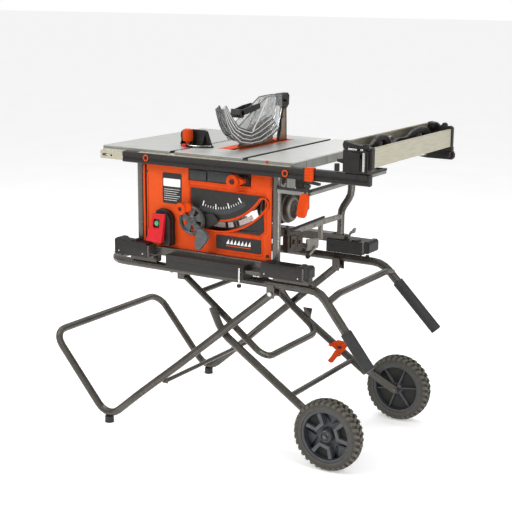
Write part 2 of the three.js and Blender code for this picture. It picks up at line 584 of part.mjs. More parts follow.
// ---------------------------------------------------------------- stand: the foot frame, a closed loop of tube
const footLine = { x: Math.cos(0.708), z: Math.sin(0.708) };
const legCorners = (side) => [
  [FOOT_PIVOT.x + 6 * footLine.x, side * LEG.top, FOOT_PIVOT.z + 6 * footLine.z],
  [CROSS_PIVOT.x + 140, side * 224, CROSS_PIVOT.z + 140 * 0.856],
  [-150, side * 262, 227.1], [-272, side * 299, 122.7], [-403, side * LEG.splay, 10.5],
  [-633, side * LEG.splay, 278],
];
const footTube = tube(LEG.tube, [...legCorners(-1), ...legCorners(1).reverse()], [
  300, 200, 200, 59, 55, 55, 59, 200, 200, 300,
]);
const crossPins = [-1, 1].map((s) =>
  rod(5, [CROSS_PIVOT.x, s * 199, CROSS_PIVOT.z], [CROSS_PIVOT.x, s * 243, CROSS_PIVOT.z], 12));
const THIN_BAR = { x: -193, z: 170, y: 262, tube: 7 };
const footPivotBores = [-1, 1].map((s) =>
  rod(5 + GAP, [FOOT_PIVOT.x, s * 190, FOOT_PIVOT.z], [FOOT_PIVOT.x, s * 250, FOOT_PIVOT.z], 12));
add("foot_frame", cut(join(
  footTube, ...crossPins,
  rod(THIN_BAR.tube, [THIN_BAR.x, -THIN_BAR.y, THIN_BAR.z], [THIN_BAR.x, THIN_BAR.y, THIN_BAR.z], 12),
  ...[-1, 1].map((s) => box(THIN_BAR.x - 10, THIN_BAR.x + 10, s * 263, s * 259, 164, 190)),
), ...footPivotBores), FINISH.tube);
for (const [side, end] of [[-1, "front"], [1, "rear"]]) {
  add("foot_pad_" + end, rod(15, [-397, side * LEG.splay, 0], [-397, side * LEG.splay, 21.5], 20), FINISH.rubber);
}

// ---------------------------------------------------------------- stand: the wheel frame
const wheelLeg = (side) => {
  const y = side * WHEEL_LEG_Y;
  return [
    tube(LEG.tube, [[-45, y - side * 12, 432], [CROSS_PIVOT.x - 2, y, 360], [90, y, 300], [310, y, 157]], [120, 300]),
    upright(outline([[286, 162], [298, 182], [424, 125], [426, 103], [410, 100]]), -2.5, 2.5)
      .translate(0, side * 222, 0),
    rod(6, [WHEEL.x, side * 218, WHEEL.z], [WHEEL.x, side * 284, WHEEL.z], 16),
    rod(8, [LINK_PIVOT.x, side * 190, LINK_PIVOT.z], [LINK_PIVOT.x, side * 205, LINK_PIVOT.z], 16),
  ];
};
const crossBores = [-1, 1].map((s) =>
  rod(5 + GAP, [CROSS_PIVOT.x, s * 190, CROSS_PIVOT.z], [CROSS_PIVOT.x, s * 250, CROSS_PIVOT.z], 12));
add("wheel_frame", cut(join(
  ...wheelLeg(-1), ...wheelLeg(1),
  rod(9, [255, -WHEEL_LEG_Y, 192], [255, WHEEL_LEG_Y, 192], 12),
  upright(outline([[60, 352], [96, 352], [86, 300], [76, 300]]), 213, 217),
), ...crossBores), FINISH.tube);
for (const [side, end] of [[-1, "front"], [1, "rear"]]) {
  const middle = side * (WHEEL.inner + WHEEL.width / 2);
  const half = WHEEL.width / 2;
  const tread = [[WHEEL.rim + GAP, -half], [103, -half], [WHEEL.z, 8 - half], [WHEEL.z, half - 8], [103, half],
    [WHEEL.rim + GAP, half], [WHEEL.rim + GAP, -half]];
  add("tyre_" + end, turned(tread, 48).translate(WHEEL.x, middle, WHEEL.z), FINISH.rubber);
  const hub = turned([[6 + GAP, -24], [22, -24], [24, 0], [22, 24], [6 + GAP, 24], [6 + GAP, -24]], 24);
  const rimBarrel = turned([[76, -23], [WHEEL.rim, -23], [WHEEL.rim, 23], [76, 23], [76, -23]], 48);
  const bars = Array.from({ length: 5 }, (_, k) =>
    new THREE.BoxGeometry(60, 40, 16).translate(49, 0, 0).rotateY((2 * Math.PI * k) / 5 + 0.3));
  const web = turned([[20, -6], [78, -6], [78, 6], [20, 6], [20, -6]], 48);
  add("wheel_rim_" + end, join(hub, rimBarrel, web, ...bars).translate(WHEEL.x, middle, WHEEL.z), FINISH.rim);
}
add("stand_latch", join(
  upright(outline([[188, 262], [214, 258], [232, 236], [222, 232], [206, 246], [190, 248]]), 196, 201.5),
  upright(outline([[176, 226], [186, 204], [204, 202], [204, 216], [192, 222], [192, 234]]), 196, 201.5),
  upright(outline([[190, 255], [206, 248], [200, 205], [186, 210]]), 196, 201.5),
), FINISH.orange);

// ---------------------------------------------------------------- stand: the U frame that props the wheel frame
const U_TUBE = 11;
const uTube = tube(U_TUBE, [
  [U_PIVOT.x, -U_LEG_Y, U_PIVOT.z], [-13, -U_LEG_Y, 400], [140, -U_LEG_Y, 284],
  [140, U_LEG_Y, 284], [-13, U_LEG_Y, 400], [U_PIVOT.x, U_LEG_Y, U_PIVOT.z],
], [300, 45, 45, 300]);
const uEyes = [-1, 1].map((s) => rod(U_TUBE, [U_PIVOT.x, s * 163, U_PIVOT.z], [U_PIVOT.x, s * 187, U_PIVOT.z]));
const uBores = [-1, 1].map((s) => rod(5 + GAP, [U_PIVOT.x, s * 150, U_PIVOT.z], [U_PIVOT.x, s * 200, U_PIVOT.z], 12));
add("u_frame", cut(join(
  uTube, ...uEyes, rod(9, [-109, -U_LEG_Y, 470], [-109, U_LEG_Y, 470], 12),
  ...[-1, 1].map((s) => rod(8, [LINK_PIVOT.x, s * 180, LINK_PIVOT.z], [LINK_PIVOT.x, s * 188.5, LINK_PIVOT.z])),
), ...uBores), FINISH.tube);

// The floor is z = 0 and the middle of the bounding box is x = y = 0.
const extent = new THREE.Box3().setFromObject(saw);
saw.position.set(-(extent.min.x + extent.max.x) / 2, -(extent.min.y + extent.max.y) / 2, -extent.min.z);

export default saw;
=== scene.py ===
import bpy
import bmesh
import json
import math
from mathutils import Matrix, Vector


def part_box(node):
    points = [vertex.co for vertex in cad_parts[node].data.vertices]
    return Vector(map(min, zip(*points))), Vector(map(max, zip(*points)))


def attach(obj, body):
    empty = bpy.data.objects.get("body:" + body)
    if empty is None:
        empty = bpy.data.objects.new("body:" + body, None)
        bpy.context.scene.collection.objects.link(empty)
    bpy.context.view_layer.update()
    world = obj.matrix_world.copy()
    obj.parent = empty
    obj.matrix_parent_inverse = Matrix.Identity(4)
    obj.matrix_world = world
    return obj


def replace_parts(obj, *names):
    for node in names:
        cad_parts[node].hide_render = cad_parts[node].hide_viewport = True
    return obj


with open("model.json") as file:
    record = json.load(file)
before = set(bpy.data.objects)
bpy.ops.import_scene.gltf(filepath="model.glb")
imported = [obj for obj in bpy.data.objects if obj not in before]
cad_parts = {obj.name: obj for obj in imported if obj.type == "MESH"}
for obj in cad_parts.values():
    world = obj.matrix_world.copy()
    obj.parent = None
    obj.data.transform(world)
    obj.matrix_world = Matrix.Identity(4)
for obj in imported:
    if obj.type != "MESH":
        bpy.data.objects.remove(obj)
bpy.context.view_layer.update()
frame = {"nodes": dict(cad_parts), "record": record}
nodes = frame["nodes"]

# Shapes are drawn in millimetres about the middle of the table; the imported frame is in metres.
TABLE_LEFT, TABLE_FRONT = 0.414, 0.282
table_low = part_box("table_top")[0]
OFFSET = Vector((table_low.x + TABLE_LEFT, table_low.y + TABLE_FRONT, 0.0))
ENDS = ((-1, "front"), (1, "rear"))


def at(x, y, z):
    return OFFSET + Vector((x, y, z)) / 1000.0


def across(side, low, high):
    """The Y limits of a piece that reaches from low to high on one side of the middle."""
    return sorted((side * low, side * high))


def in_scene(name, data):
    obj = bpy.data.objects.new(name, data)
    bpy.context.scene.collection.objects.link(obj)
    return obj


# ---------------- materials
def new_material(name):
    mat = bpy.data.materials.new(name)
    mat.use_nodes = True
    tree = mat.node_tree
    tree.nodes.clear()
    out = tree.nodes.new("ShaderNodeOutputMaterial")
    bsdf = tree.nodes.new("ShaderNodeBsdfPrincipled")
    tree.links.new(bsdf.outputs[0], out.inputs["Surface"])
    coords = tree.nodes.new("ShaderNodeTexCoord")
    return mat, tree, bsdf, coords


def noise(tree, coords, scale, detail=4.0, stretch=(1, 1, 1)):
    mapping = tree.nodes.new("ShaderNodeMapping")
    mapping.inputs["Scale"].default_value = stretch
    tree.links.new(coords.outputs["Object"], mapping.inputs["Vector"])
    tex = tree.nodes.new("ShaderNodeTexNoise")
    tex.inputs["Scale"].default_value = scale
    tex.inputs["Detail"].default_value = detail
    tree.links.new(mapping.outputs[0], tex.inputs["Vector"])
    return tex.outputs["Fac"]


def ramp(tree, fac, stops):
    node = tree.nodes.new("ShaderNodeValToRGB")
    elements = node.color_ramp.elements
    while len(elements) < len(stops):
        elements.new(0.5)
    for element, (pos, color) in zip(elements, stops):
        element.position = pos
        element.color = (*color, 1.0)
    tree.links.new(fac, node.inputs["Fac"])
    return node.outputs["Color"]


def remap(tree, fac, low, high):
    node = tree.nodes.new("ShaderNodeMapRange")
    node.inputs["From Min"].default_value = 0.3
    node.inputs["From Max"].default_value = 0.7
    node.inputs["To Min"].default_value = low
    node.inputs["To Max"].default_value = high
    tree.links.new(fac, node.inputs["Value"])
    return node.outputs["Result"]


def bump(tree, bsdf, height, strength, distance):
    node = tree.nodes.new("ShaderNodeBump")
    node.inputs["Strength"].default_value = strength
    node.inputs["Distance"].default_value = distance
    tree.links.new(height, node.inputs["Height"])
    tree.links.new(node.outputs[0], bsdf.inputs["Normal"])


def paint_edge_highlight(tree, color, edge_highlight_color, amount=0.35):
    # Painted highlight: edges picked out by pointiness get a paler colour that stands for light caught along
    # them. Pointiness is a mesh attribute, so it travels with the surface.
    geo = tree.nodes.new("ShaderNodeNewGeometry")
    node = tree.nodes.new("ShaderNodeMapRange")
    node.inputs["From Min"].default_value = 0.52
    node.inputs["From Max"].default_value = 0.62
    node.inputs["To Max"].default_value = amount
    tree.links.new(geo.outputs["Pointiness"], node.inputs["Value"])
    mix = tree.nodes.new("ShaderNodeMix")
    mix.data_type = "RGBA"
    tree.links.new(node.outputs["Result"], mix.inputs["Factor"])
    tree.links.new(color, mix.inputs["A"])
    mix.inputs["B"].default_value = (*edge_highlight_color, 1.0)
    return mix.outputs["Result"]


def surface(name, dark, light, rough, metal=0.0, grain=60.0, stretch=(1, 1, 1), texture=900.0, bumps=0.15,
            depth=0.0002, coat=0.0, edge_highlight_color=None, gloss=0.5):
    """Two mottled colours, a range of roughness, a fine bump and, where an edge colour is given, paler edges
    as a painted highlight.
    """
    mat, tree, bsdf, coords = new_material(name)
    bsdf.inputs["Specular IOR Level"].default_value = gloss
    color = ramp(tree, noise(tree, coords, grain, 5.0, stretch), [(0.3, dark), (0.7, light)])
    if edge_highlight_color:
        color = paint_edge_highlight(tree, color, edge_highlight_color)
    tree.links.new(color, bsdf.inputs["Base Color"])
    dull = remap(tree, noise(tree, coords, grain * 1.7, 4.0, stretch), *rough)
    tree.links.new(dull, bsdf.inputs["Roughness"])
    bsdf.inputs["Metallic"].default_value = metal
    bsdf.inputs["Coat Weight"].default_value = coat
    bsdf.inputs["Coat Roughness"].default_value = 0.2
    bump(tree, bsdf, noise(tree, coords, texture, 3.0, stretch), bumps, depth)
    return mat


# The paler edge colours given below are painted highlights on the edges.
MAT = {
    "table": surface("cast_table", (0.56, 0.565, 0.54), (0.62, 0.625, 0.6), (0.3, 0.36), 0.6, 14.0,
                     (1, 3, 1), 1400.0, 0.012, 0.0001),
    "rail": surface("champagne_rail", (0.46, 0.43, 0.33), (0.55, 0.52, 0.41), (0.28, 0.4), 0.7, 30.0,
                    (8, 0.6, 8), 900.0, 0.1),
    "orange": surface("orange_paint", (0.5, 0.036, 0.0015), (0.61, 0.053, 0.002), (0.42, 0.54), 0.0, 40.0,
                      edge_highlight_color=(0.9, 0.16, 0.045), gloss=0.08),
    "tube": surface("charcoal_tube", (0.062, 0.056, 0.049), (0.1, 0.091, 0.079), (0.22, 0.3), 0.65, 18.0,
                    texture=1600.0, bumps=0.06, edge_highlight_color=(0.22, 0.21, 0.19)),
    "black": surface("black_plastic", (0.0085, 0.0075, 0.007), (0.016, 0.0145, 0.013), (0.36, 0.5), 0.0, 70.0,
                     texture=2200.0, bumps=0.25, edge_highlight_color=(0.06, 0.057, 0.052), gloss=0.24),
    "red": surface("red_plastic", (0.52, 0.006, 0.012), (0.6, 0.009, 0.018), (0.3, 0.4), 0.0, 50.0,
                   coat=0.1, gloss=0.3),
    "green": surface("green_plastic", (0.04, 0.3, 0.11), (0.06, 0.38, 0.15), (0.25, 0.35), 0.0, 80.0,
                     coat=0.3),
    "grey": surface("grey_plastic", (0.055, 0.058, 0.066), (0.085, 0.09, 0.1), (0.34, 0.48),
                    texture=1800.0, bumps=0.2, edge_highlight_color=(0.22, 0.22, 0.23), gloss=0.4),
    "steel": surface("bright_steel", (0.42, 0.42, 0.42), (0.6, 0.6, 0.6), (0.2, 0.34), 1.0, 40.0, (1, 6, 1)),
    "motor": surface("motor_grey", (0.2, 0.19, 0.165), (0.26, 0.245, 0.215), (0.4, 0.55), 0.3, 45.0,
                     bumps=0.2),
    "wheel": surface("handwheel_grey", (0.03, 0.032, 0.033), (0.05, 0.053, 0.055), (0.32, 0.45),
                     texture=1800.0, bumps=0.2, edge_highlight_color=(0.3, 0.3, 0.29), gloss=0.45),
    "rubber": surface("black_rubber", (0.013, 0.013, 0.013), (0.024, 0.023, 0.023), (0.6, 0.78), 0.0, 90.0,
                      texture=1500.0, bumps=0.3),
    # The tyre's tan edge colour is a painted reflection of the warm floor on the tread.
    "tyre": surface("tyre_rubber", (0.019, 0.0185, 0.018), (0.032, 0.03, 0.028), (0.6, 0.8),
                    texture=1300.0, bumps=0.3, edge_highlight_color=(0.2, 0.18, 0.135)),
    "rim": surface("rim_plastic", (0.025, 0.027, 0.031), (0.042, 0.045, 0.052), (0.32, 0.46),
                   texture=1800.0, bumps=0.2, edge_highlight_color=(0.3, 0.3, 0.31), gloss=0.45),
    "scale": surface("scale_black", (0.016, 0.015, 0.014), (0.024, 0.0225, 0.021), (0.45, 0.55),
                     gloss=0.3),
    # Painted shade: a dark grey that stands for the shade inside recesses.
    "recess": surface("recess_shade_grey", (0.034, 0.038, 0.038), (0.05, 0.055, 0.055), (0.45, 0.6),
                      gloss=0.3),
    "shadow": surface("slot_shadow", (0.05, 0.055, 0.05), (0.085, 0.09, 0.084), (0.5, 0.6), 0.2, 40.0,
                      gloss=0.2),
    # Dark guard ribs: partly the plastic's smoky tint, partly painted dark reflection along the clear ribs
    # and outline.
    "rib": surface("rib_dark_reflection", (0.03, 0.03, 0.03), (0.16, 0.16, 0.155), (0.1, 0.22), 0.0, 55.0, coat=0.6),
    "mechanism": surface("mechanism_brown", (0.035, 0.025, 0.018), (0.07, 0.052, 0.038), (0.4, 0.55), 0.4,
                         60.0),
    "skirt": surface("table_side", (0.2, 0.2, 0.185), (0.27, 0.27, 0.25), (0.4, 0.55), 0.4, 18.0, bumps=0.2),
    # White for real print, and also for the painted glints on the guard.
    "white": surface("print_and_glint_white", (0.78, 0.78, 0.76), (0.86, 0.86, 0.84), (0.4, 0.5)),
    "silver": surface("silver_bolt", (0.5, 0.49, 0.47), (0.7, 0.69, 0.66), (0.18, 0.3), 1.0, 60.0),
    # A bronze tone for the blade and the knife's side strips.
    "bronze": surface("blade_bronze_tone", (0.22, 0.13, 0.065), (0.3, 0.18, 0.09), (0.25, 0.4), 0.9, 40.0),
}


def clear_plastic():
    mat, tree, bsdf, coords = new_material("clear_guard")
    # Partly a real smoky tint and partly painted reflection: noise mixes darker and paler patches that stand
    # for the streaks of reflected light across the clear plastic.
    tint_and_reflection_streaks = ramp(tree, noise(tree, coords, 30.0), [(0.3, (0.5, 0.5, 0.49)), (0.7, (0.88, 0.89, 0.9))])
    tree.links.new(tint_and_reflection_streaks, bsdf.inputs["Base Color"])
    tree.links.new(remap(tree, noise(tree, coords, 60.0), 0.03, 0.12), bsdf.inputs["Roughness"])
    bsdf.inputs["Transmission Weight"].default_value = 0.92
    bsdf.inputs["IOR"].default_value = 1.45
    bump(tree, bsdf, noise(tree, coords, 120.0, 2.0), 0.2, 0.0006)
    return mat


MAT["clear"] = clear_plastic()
SLOTS = {entry["node"]: entry["material_slot"] for entry in frame["record"]["subparts"]}


def bevel_edges(obj, width, degrees):
    mod = obj.modifiers.new("edge", "BEVEL")
    mod.width = width / 1000.0
    mod.segments = 2
    mod.limit_method = "ANGLE"
    mod.angle_limit = math.radians(degrees)
    mod.harden_normals = True


def dress(obj, mat, bevel=0.0, smooth=35.0):
    """Gives a piece its one material, with smooth shading up to the smooth angle."""
    obj.data.materials.clear()
    obj.data.materials.append(mat)
    obj.data.polygons.foreach_set("use_smooth", [True] * len(obj.data.polygons))
    obj.data.set_sharp_from_angle(angle=math.radians(smooth))
    if bevel:
        bevel_edges(obj, bevel, 45.0)


for name, obj in nodes.items():
    dress(obj, MAT[SLOTS[name]])


# ---------------- mesh building, in the drawing frame
class Build:
    """Collects closed shapes, in millimetres of the drawing frame, into one mesh."""

    def __init__(self):
        self.bm = bmesh.new()

    def loops(self, rings, caps=True):
        """Joins rings of points in a row; caps close the ends, or else the last ring joins the first."""
        made = [[self.bm.verts.new(at(*p)) for p in ring] for ring in rings]
        n = len(made[0])
        following = made[1:] if caps else made[1:] + made[:1]
        for low, high in zip(made, following):
            for i in range(n):
                j = (i + 1) % n
                self.bm.faces.new((low[i], low[j], high[j], high[i]))
        if caps:
            self.bm.faces.new(list(reversed(made[0])))
            self.bm.faces.new(made[-1])
        return self

    def prism(self, points, low, high, axis="y"):
        place = {"x": lambda p, t: (t, p[0], p[1]), "y": lambda p, t: (p[0], t, p[1]),
                 "z": lambda p, t: (p[0], p[1], t)}[axis]
        return self.loops([[place(p, t) for p in points] for t in (low, high)])

    def box(self, x0, x1, y0, y1, z0, z1):
        return self.prism([(x0, z0), (x1, z0), (x1, z1), (x0, z1)], y0, y1)

    def turned(self, profile, centre, axis="y", n=32, closed=False):
        """profile holds (radius, distance along); closed joins its last point to its first."""
        rings = []
        for r, d in profile:
            ring = []
            for k in range(n):
                a = 2 * math.pi * k / n
                u, v = max(r, 0.01) * math.cos(a), max(r, 0.01) * math.sin(a)
                p = {"x": (d, u, v), "y": (u, d, v), "z": (u, v, d)}[axis]
                ring.append(tuple(c + q for c, q in zip(centre, p)))
            rings.append(ring)
        return self.loops(rings, caps=not closed)

    def rod(self, a, b, r, n=14):
        a, b = Vector(a), Vector(b)
        turn = (b - a).to_track_quat("Z", "Y")
        circle = [turn @ Vector((r * math.cos(2 * math.pi * k / n), r * math.sin(2 * math.pi * k / n), 0))
                  for k in range(n)]
        return self.loops([[tuple(p + q) for q in circle] for p in (a, b)])

    def path(self, points, r, n=10, closed=False):
        pts = [Vector(p) for p in points]
        count = len(pts)
        rings, side = [], None
        for i, p in enumerate(pts):
            before = pts[i - 1] if (i or closed) else p
            after = pts[(i + 1) % count] if (i < count - 1 or closed) else p
            along = (after - before).normalized()
            if side is None:
                side = along.orthogonal().normalized()
            side = (side - along * side.dot(along)).normalized()
            other = along.cross(side)
            turns = [2 * math.pi * k / n for k in range(n)]
            rings.append([tuple(p + (side * math.cos(t) + other * math.sin(t)) * r) for t in turns])
        return self.loops(rings, caps=not closed)

    def band(self, centre, r0, r1, a0, a1, y0, y1, n=24):
        """An arc band in X and Z about centre; angles in degrees from straight down, growing to the right."""
        def spot(r, a, y):
            t = math.radians(a)
            return (centre[0] + r * math.sin(t), y, centre[1] - r * math.cos(t))
        rings = []
        for k in range(n + 1):
            a = a0 + (a1 - a0) * k / n
            rings.append([spot(r0, a, y0), spot(r1, a, y0), spot(r1, a, y1), spot(r0, a, y1)])
        return self.loops(rings)

    def made(self, name):
        bmesh.ops.recalc_face_normals(self.bm, faces=self.bm.faces)
        mesh = bpy.data.meshes.new(name)
        self.bm.to_mesh(mesh)
        self.bm.free()
        return in_scene(name, mesh)

    def done(self, name, body, slot, mat=None, bevel=0.0, segments=2):
        """Makes the piece, which rides on a body; its material is the slot's unless mat names another."""
        obj = self.made(name)
        dress(obj, MAT[mat or slot], bevel)
        if bevel:
            obj.modifiers["edge"].segments = segments
        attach(obj, body)
        return obj


def rounded(x0, x1, z0, z1, r, n=4):
    """A rectangle with rounded corners, as (a, b) points."""
    points = []
    middles = ((x1 - r, z1 - r, 0), (x0 + r, z1 - r, 90), (x0 + r, z0 + r, 180), (x1 - r, z0 + r, 270))
    for cx, cz, start in middles:
        for k in range(n + 1):
            t = math.radians(start + 90 * k / n)
            points.append((cx + r * math.cos(t), cz + r * math.sin(t)))
    return points


def soften(name, width):
    """Rounds the edges of a CAD node with modifiers only."""
    obj = nodes[name]
    flat = obj.modifiers.new("flat", "DECIMATE")
    flat.decimate_type = "DISSOLVE"
    flat.angle_limit = math.radians(1.0)
    bevel_edges(obj, width, 40.0)


for name, width in {"table_top": 1.2, "front_panel": 1.0, "mitre_bar": 0.6, "belt_cover": 2.0,
                    "fixed_rail_front": 0.5, "fixed_rail_rear": 0.5, "front_trunnion": 0.8,
                    "guard_mount": 1.0, "tilt_cradle": 0.8, "lift_carriage": 1.0, }.items():
    soften(name, width)
# The trunnion behind the bevel slot takes the dark recess colour, painted shade.
nodes["front_trunnion"].data.materials[0] = MAT["recess"]
nodes["blade"].data.materials[0] = MAT["bronze"]


def carve(obj, build):
    """Cuts a shape out of a piece and leaves no modifier behind."""
    cutter = build.made("cutter")
    mod = obj.modifiers.new("cut", "BOOLEAN")
    mod.object = cutter
    mod.solver = "EXACT"
    mesh = bpy.data.meshes.new_from_object(obj.evaluated_get(bpy.context.evaluated_depsgraph_get()))
    obj.modifiers.remove(mod)
    obj.data = mesh
    bpy.data.objects.remove(cutter)


# ---------------- rails
for side, end in ENDS:
    profile = [(284, 895), (299.5, 895), (303, 897.5), (303, 905.5), (301, 907), (301, 911.5), (303, 913),
               (303, 926.5), (300.5, 929), (284, 929)]
    if side > 0:
        profile = [(284, 911), (300, 911), (303, 914), (303, 926.5), (300.5, 929), (284, 929)]
    rail = Build().prism([(side * y, z) for y, z in profile], -322, 541, "x").done(
        f"rail_body_{end}", "rail_slide", "black")
    carve(rail, Build().box(-323, 538, *across(side, 283, 299.4), 898.6, 925.4))
    dress(rail, MAT["black"], 0.4)
    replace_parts(rail, f"sliding_rail_{end}")
    cap_low = 894.4 if side < 0 else 910.4
    cap = Build().prism([(side * y, z) for y, z in rounded(283.4, 303.6, cap_low, 929.6, 5)], 541.2, 549,
                        "x")
    cap.done(f"rail_cap_{end}", "rail_slide", "black", bevel=2.5, segments=3)
rings, heads, holes = Build(), Build(), Build()
for x, z in ((-229, 914), (276, 910)):
    rings.turned([(6.5, -303.2), (9.5, -303.2), (10.5, -304.4), (9.5, -306.0), (7.5, -306.0), (6.5, -304.6)],
                 (x, 0, z), "y", 28, closed=True)
    heads.turned([(6.2, -303.1), (6.2, -304.0), (3.6, -304.0), (3.4, -303.3)], (x, 0, z), "y", 6)
rings.done("rail_bolt_rings", "rail_slide", "orange")
heads.done("rail_bolt_heads", "rail_slide", "black")
for x in (297, 395, 512):
    holes.turned([(3.4, -303.1), (3.4, -303.9), (2.0, -303.9), (1.8, -303.2)], (x, 0, 916.5), "y", 12)
holes.done("rail_screws", "rail_slide", "black")

# ---------------- front panel
PANEL_FACE = -250.0
SCALE = (0, 930)  # the middle of the bevel arc
SLOT_IN, SLOT_OUT = 201.5, 230.5


def arc_point(r, degrees):
    t = math.radians(degrees)
    return (SCALE[0] + r * math.sin(t), SCALE[1] - r * math.cos(t))


# The dark scale plate has two parts, above and below the arc slot.
upper = [(-93, 827), (175, 822), (175, 816)] + [arc_point(SLOT_IN, a) for a in range(54, -29, -3)]
upper = [p for p in upper if p[0] > -93.5] + [(-93, 752)]
lower = [(175, 716), (160, 702), (-40, 702)] + [arc_point(SLOT_OUT, a) for a in range(-9, 50, 3)]
scale = Build()
for part in (upper, lower):
    scale.prism(part, PANEL_FACE - 2.2, PANEL_FACE + 0.1)
scale.done("bevel_scale_plate", "saw", "black", "scale", bevel=0.5)
slot_line = [arc_point(SLOT_OUT + 3, a) for a in range(-18, 53, 2)]
mid = arc_point(216, 53)
slot_line += [(mid[0] + 17.5 * math.cos(math.radians(t)), mid[1] + 17.5 * math.sin(math.radians(t)))
              for t in range(-35, 146, 18)]
slot_line += [arc_point(SLOT_IN - 3, a) for a in range(52, -27, -2)]
Build().path([(x, PANEL_FACE - 2.5, z) for x, z in slot_line], 3.2, 8).done("slot_rim", "saw", "orange")
ticks = Build()
for k in range(16):
    a = -17 + 17.4 * k / 5
    r0, r1, w = (156, 163, 0.3) if k % 5 else (147, 164, 0.62)
    ticks.band(SCALE, r0, r1, a - w, a + w, PANEL_FACE - 2.7, PANEL_FACE - 2.1, 1)
ticks.done("bevel_scale_marks", "saw", "black", "white")
# A band in the painted recess shade on the scale plate.
Build().band(SCALE, 165, 179, -20, 39, PANEL_FACE - 2.8, PANEL_FACE - 2.1, 30).done(
    "bevel_scale_band", "saw", "black", "recess")
Build().band(SCALE, 208, 224, -14, 34, -228.3, -227.2, 24).done(
    "bevel_scale_strip", "cradle", "black", "white")
marks = Build()
for a in (-9, 6, 14, 17):
    marks.band(SCALE, 208, 224, a, a + 2.4, -230.2, -229.4, 2)
marks.done("bevel_scale_pointer", "cradle", "black", "scale")
label = Build().prism(rounded(-203, -130, 767, 865, 5), PANEL_FACE - 1.2, PANEL_FACE + 0.1)
label.done("rating_plate", "saw", "black", "scale", bevel=0.4)
lines = Build().box(-199, -134, PANEL_FACE - 1.6, PANEL_FACE - 1.1, 822, 847)
for k in range(6):
    lines.box(-197, -136 - 6 * (k % 3), PANEL_FACE - 1.5, PANEL_FACE - 1.1, 812 - 7 * k, 813.2 - 7 * k)
lines.done("rating_plate_lines", "saw", "black", "white")
badge = Build().prism(rounded(2, 165, 643, 687, 3), PANEL_FACE - 2.0, PANEL_FACE + 0.1)
badge.done("badge_plate", "saw", "black", "scale", bevel=0.5)
teeth = Build()
for k in range(7):
    x = 40 + 13 * k
    teeth.prism([(x, 662), (x + 11, 662), (x + 9, 677)], PANEL_FACE - 2.6, PANEL_FACE - 1.9)
teeth.done("badge_teeth", "saw", "black", "white")
Build().box(40, 129, PANEL_FACE - 2.6, PANEL_FACE - 1.9, 655, 657.2).done("badge_line", "saw", "orange")
screws = Build()
for x, z in ((-268, 862), (188, 866), (188, 640), (-268, 640)):
    screws.turned([(0, 0.2), (5.5, 0.2), (5.2, -2.2), (2.6, -2.4), (2.2, -1.2), (0, -1.2)],
                  (x, PANEL_FACE, z), "y", 14)
screws.done("panel_screws", "saw", "black", "scale")
frame_rim = Build()
frame_rim.path([(x, PANEL_FACE - 0.5, z) for x, z in
                ((-98, 832), (-98, 697), (162, 697), (180, 713), (180, 827))], 3.0, 8, closed=True)
frame_rim.path([(x, PANEL_FACE - 0.3, z) for x, z in rounded(-3, 170, 638, 692, 5)], 2.4, 8, closed=True)
frame_rim.path([(-262, PANEL_FACE + 0.2, 640), (-262, PANEL_FACE - 0.4, 700), (-262, PANEL_FACE - 0.4, 850)],
               2.6, 8)
frame_rim.done("panel_ribs", "saw", "orange")

# ---------------- wheels
WHEEL_X, WHEEL_Y, WHEEL_Z = 415.0, 256.0, 113.0
LUGS = 34
TREAD = ((-24.3, -10), (-9, 9), (10, 24.3))


def tyre_mesh(centre):
    tyre = Build()
    tyre.turned([(84.3, -24), (97, -24.6), (103, -22), (106, -16), (107, 0), (106, 16), (103, 22),
                 (97, 24.6), (84.3, 24)], centre, "y", 72, closed=True)
    half = 2 * math.pi / LUGS * 0.31
    for row, (y0, y1) in enumerate(TREAD):
        skew = half * 0.5 * (1 if row == 1 else -1)
        for k in range(LUGS):
            t = 2 * math.pi * (k + 0.5 * (row % 2)) / LUGS
            lug = []
            for y, turn in ((y0, -skew), (y1, skew)):
                top = 112.9 - 5.0 * max(abs(y) - 9, 0) / 15.3
                lug.append([(centre[0] + r * math.cos(t + turn + s * half), centre[1] + y,
                             centre[2] + r * math.sin(t + turn + s * half))
                            for r, s in ((100.0, -1), (100.0, 1), (top, 0.75), (top, -0.75))])
            tyre.loops(lug)
    return tyre


def spoke_place(centre, out, turn):
    """Turns (along a spoke, across it, towards the outer face) into a point of the wheel."""
    c, s = math.cos(turn), math.sin(turn)
    return lambda u, v, y: (centre[0] + u * c - v * s, centre[1] + y * out, centre[2] + u * s + v * c)


def wheel_bar(build, place, near, far, low, high):
    """A bar from one pair of points across its width to another, 2 mm higher at its far end."""
    build.loops([[place(*a, low), place(*b, low), place(*b, top), place(*a, top)]
                 for (a, b), top in ((near, high), (far, high + 2))])


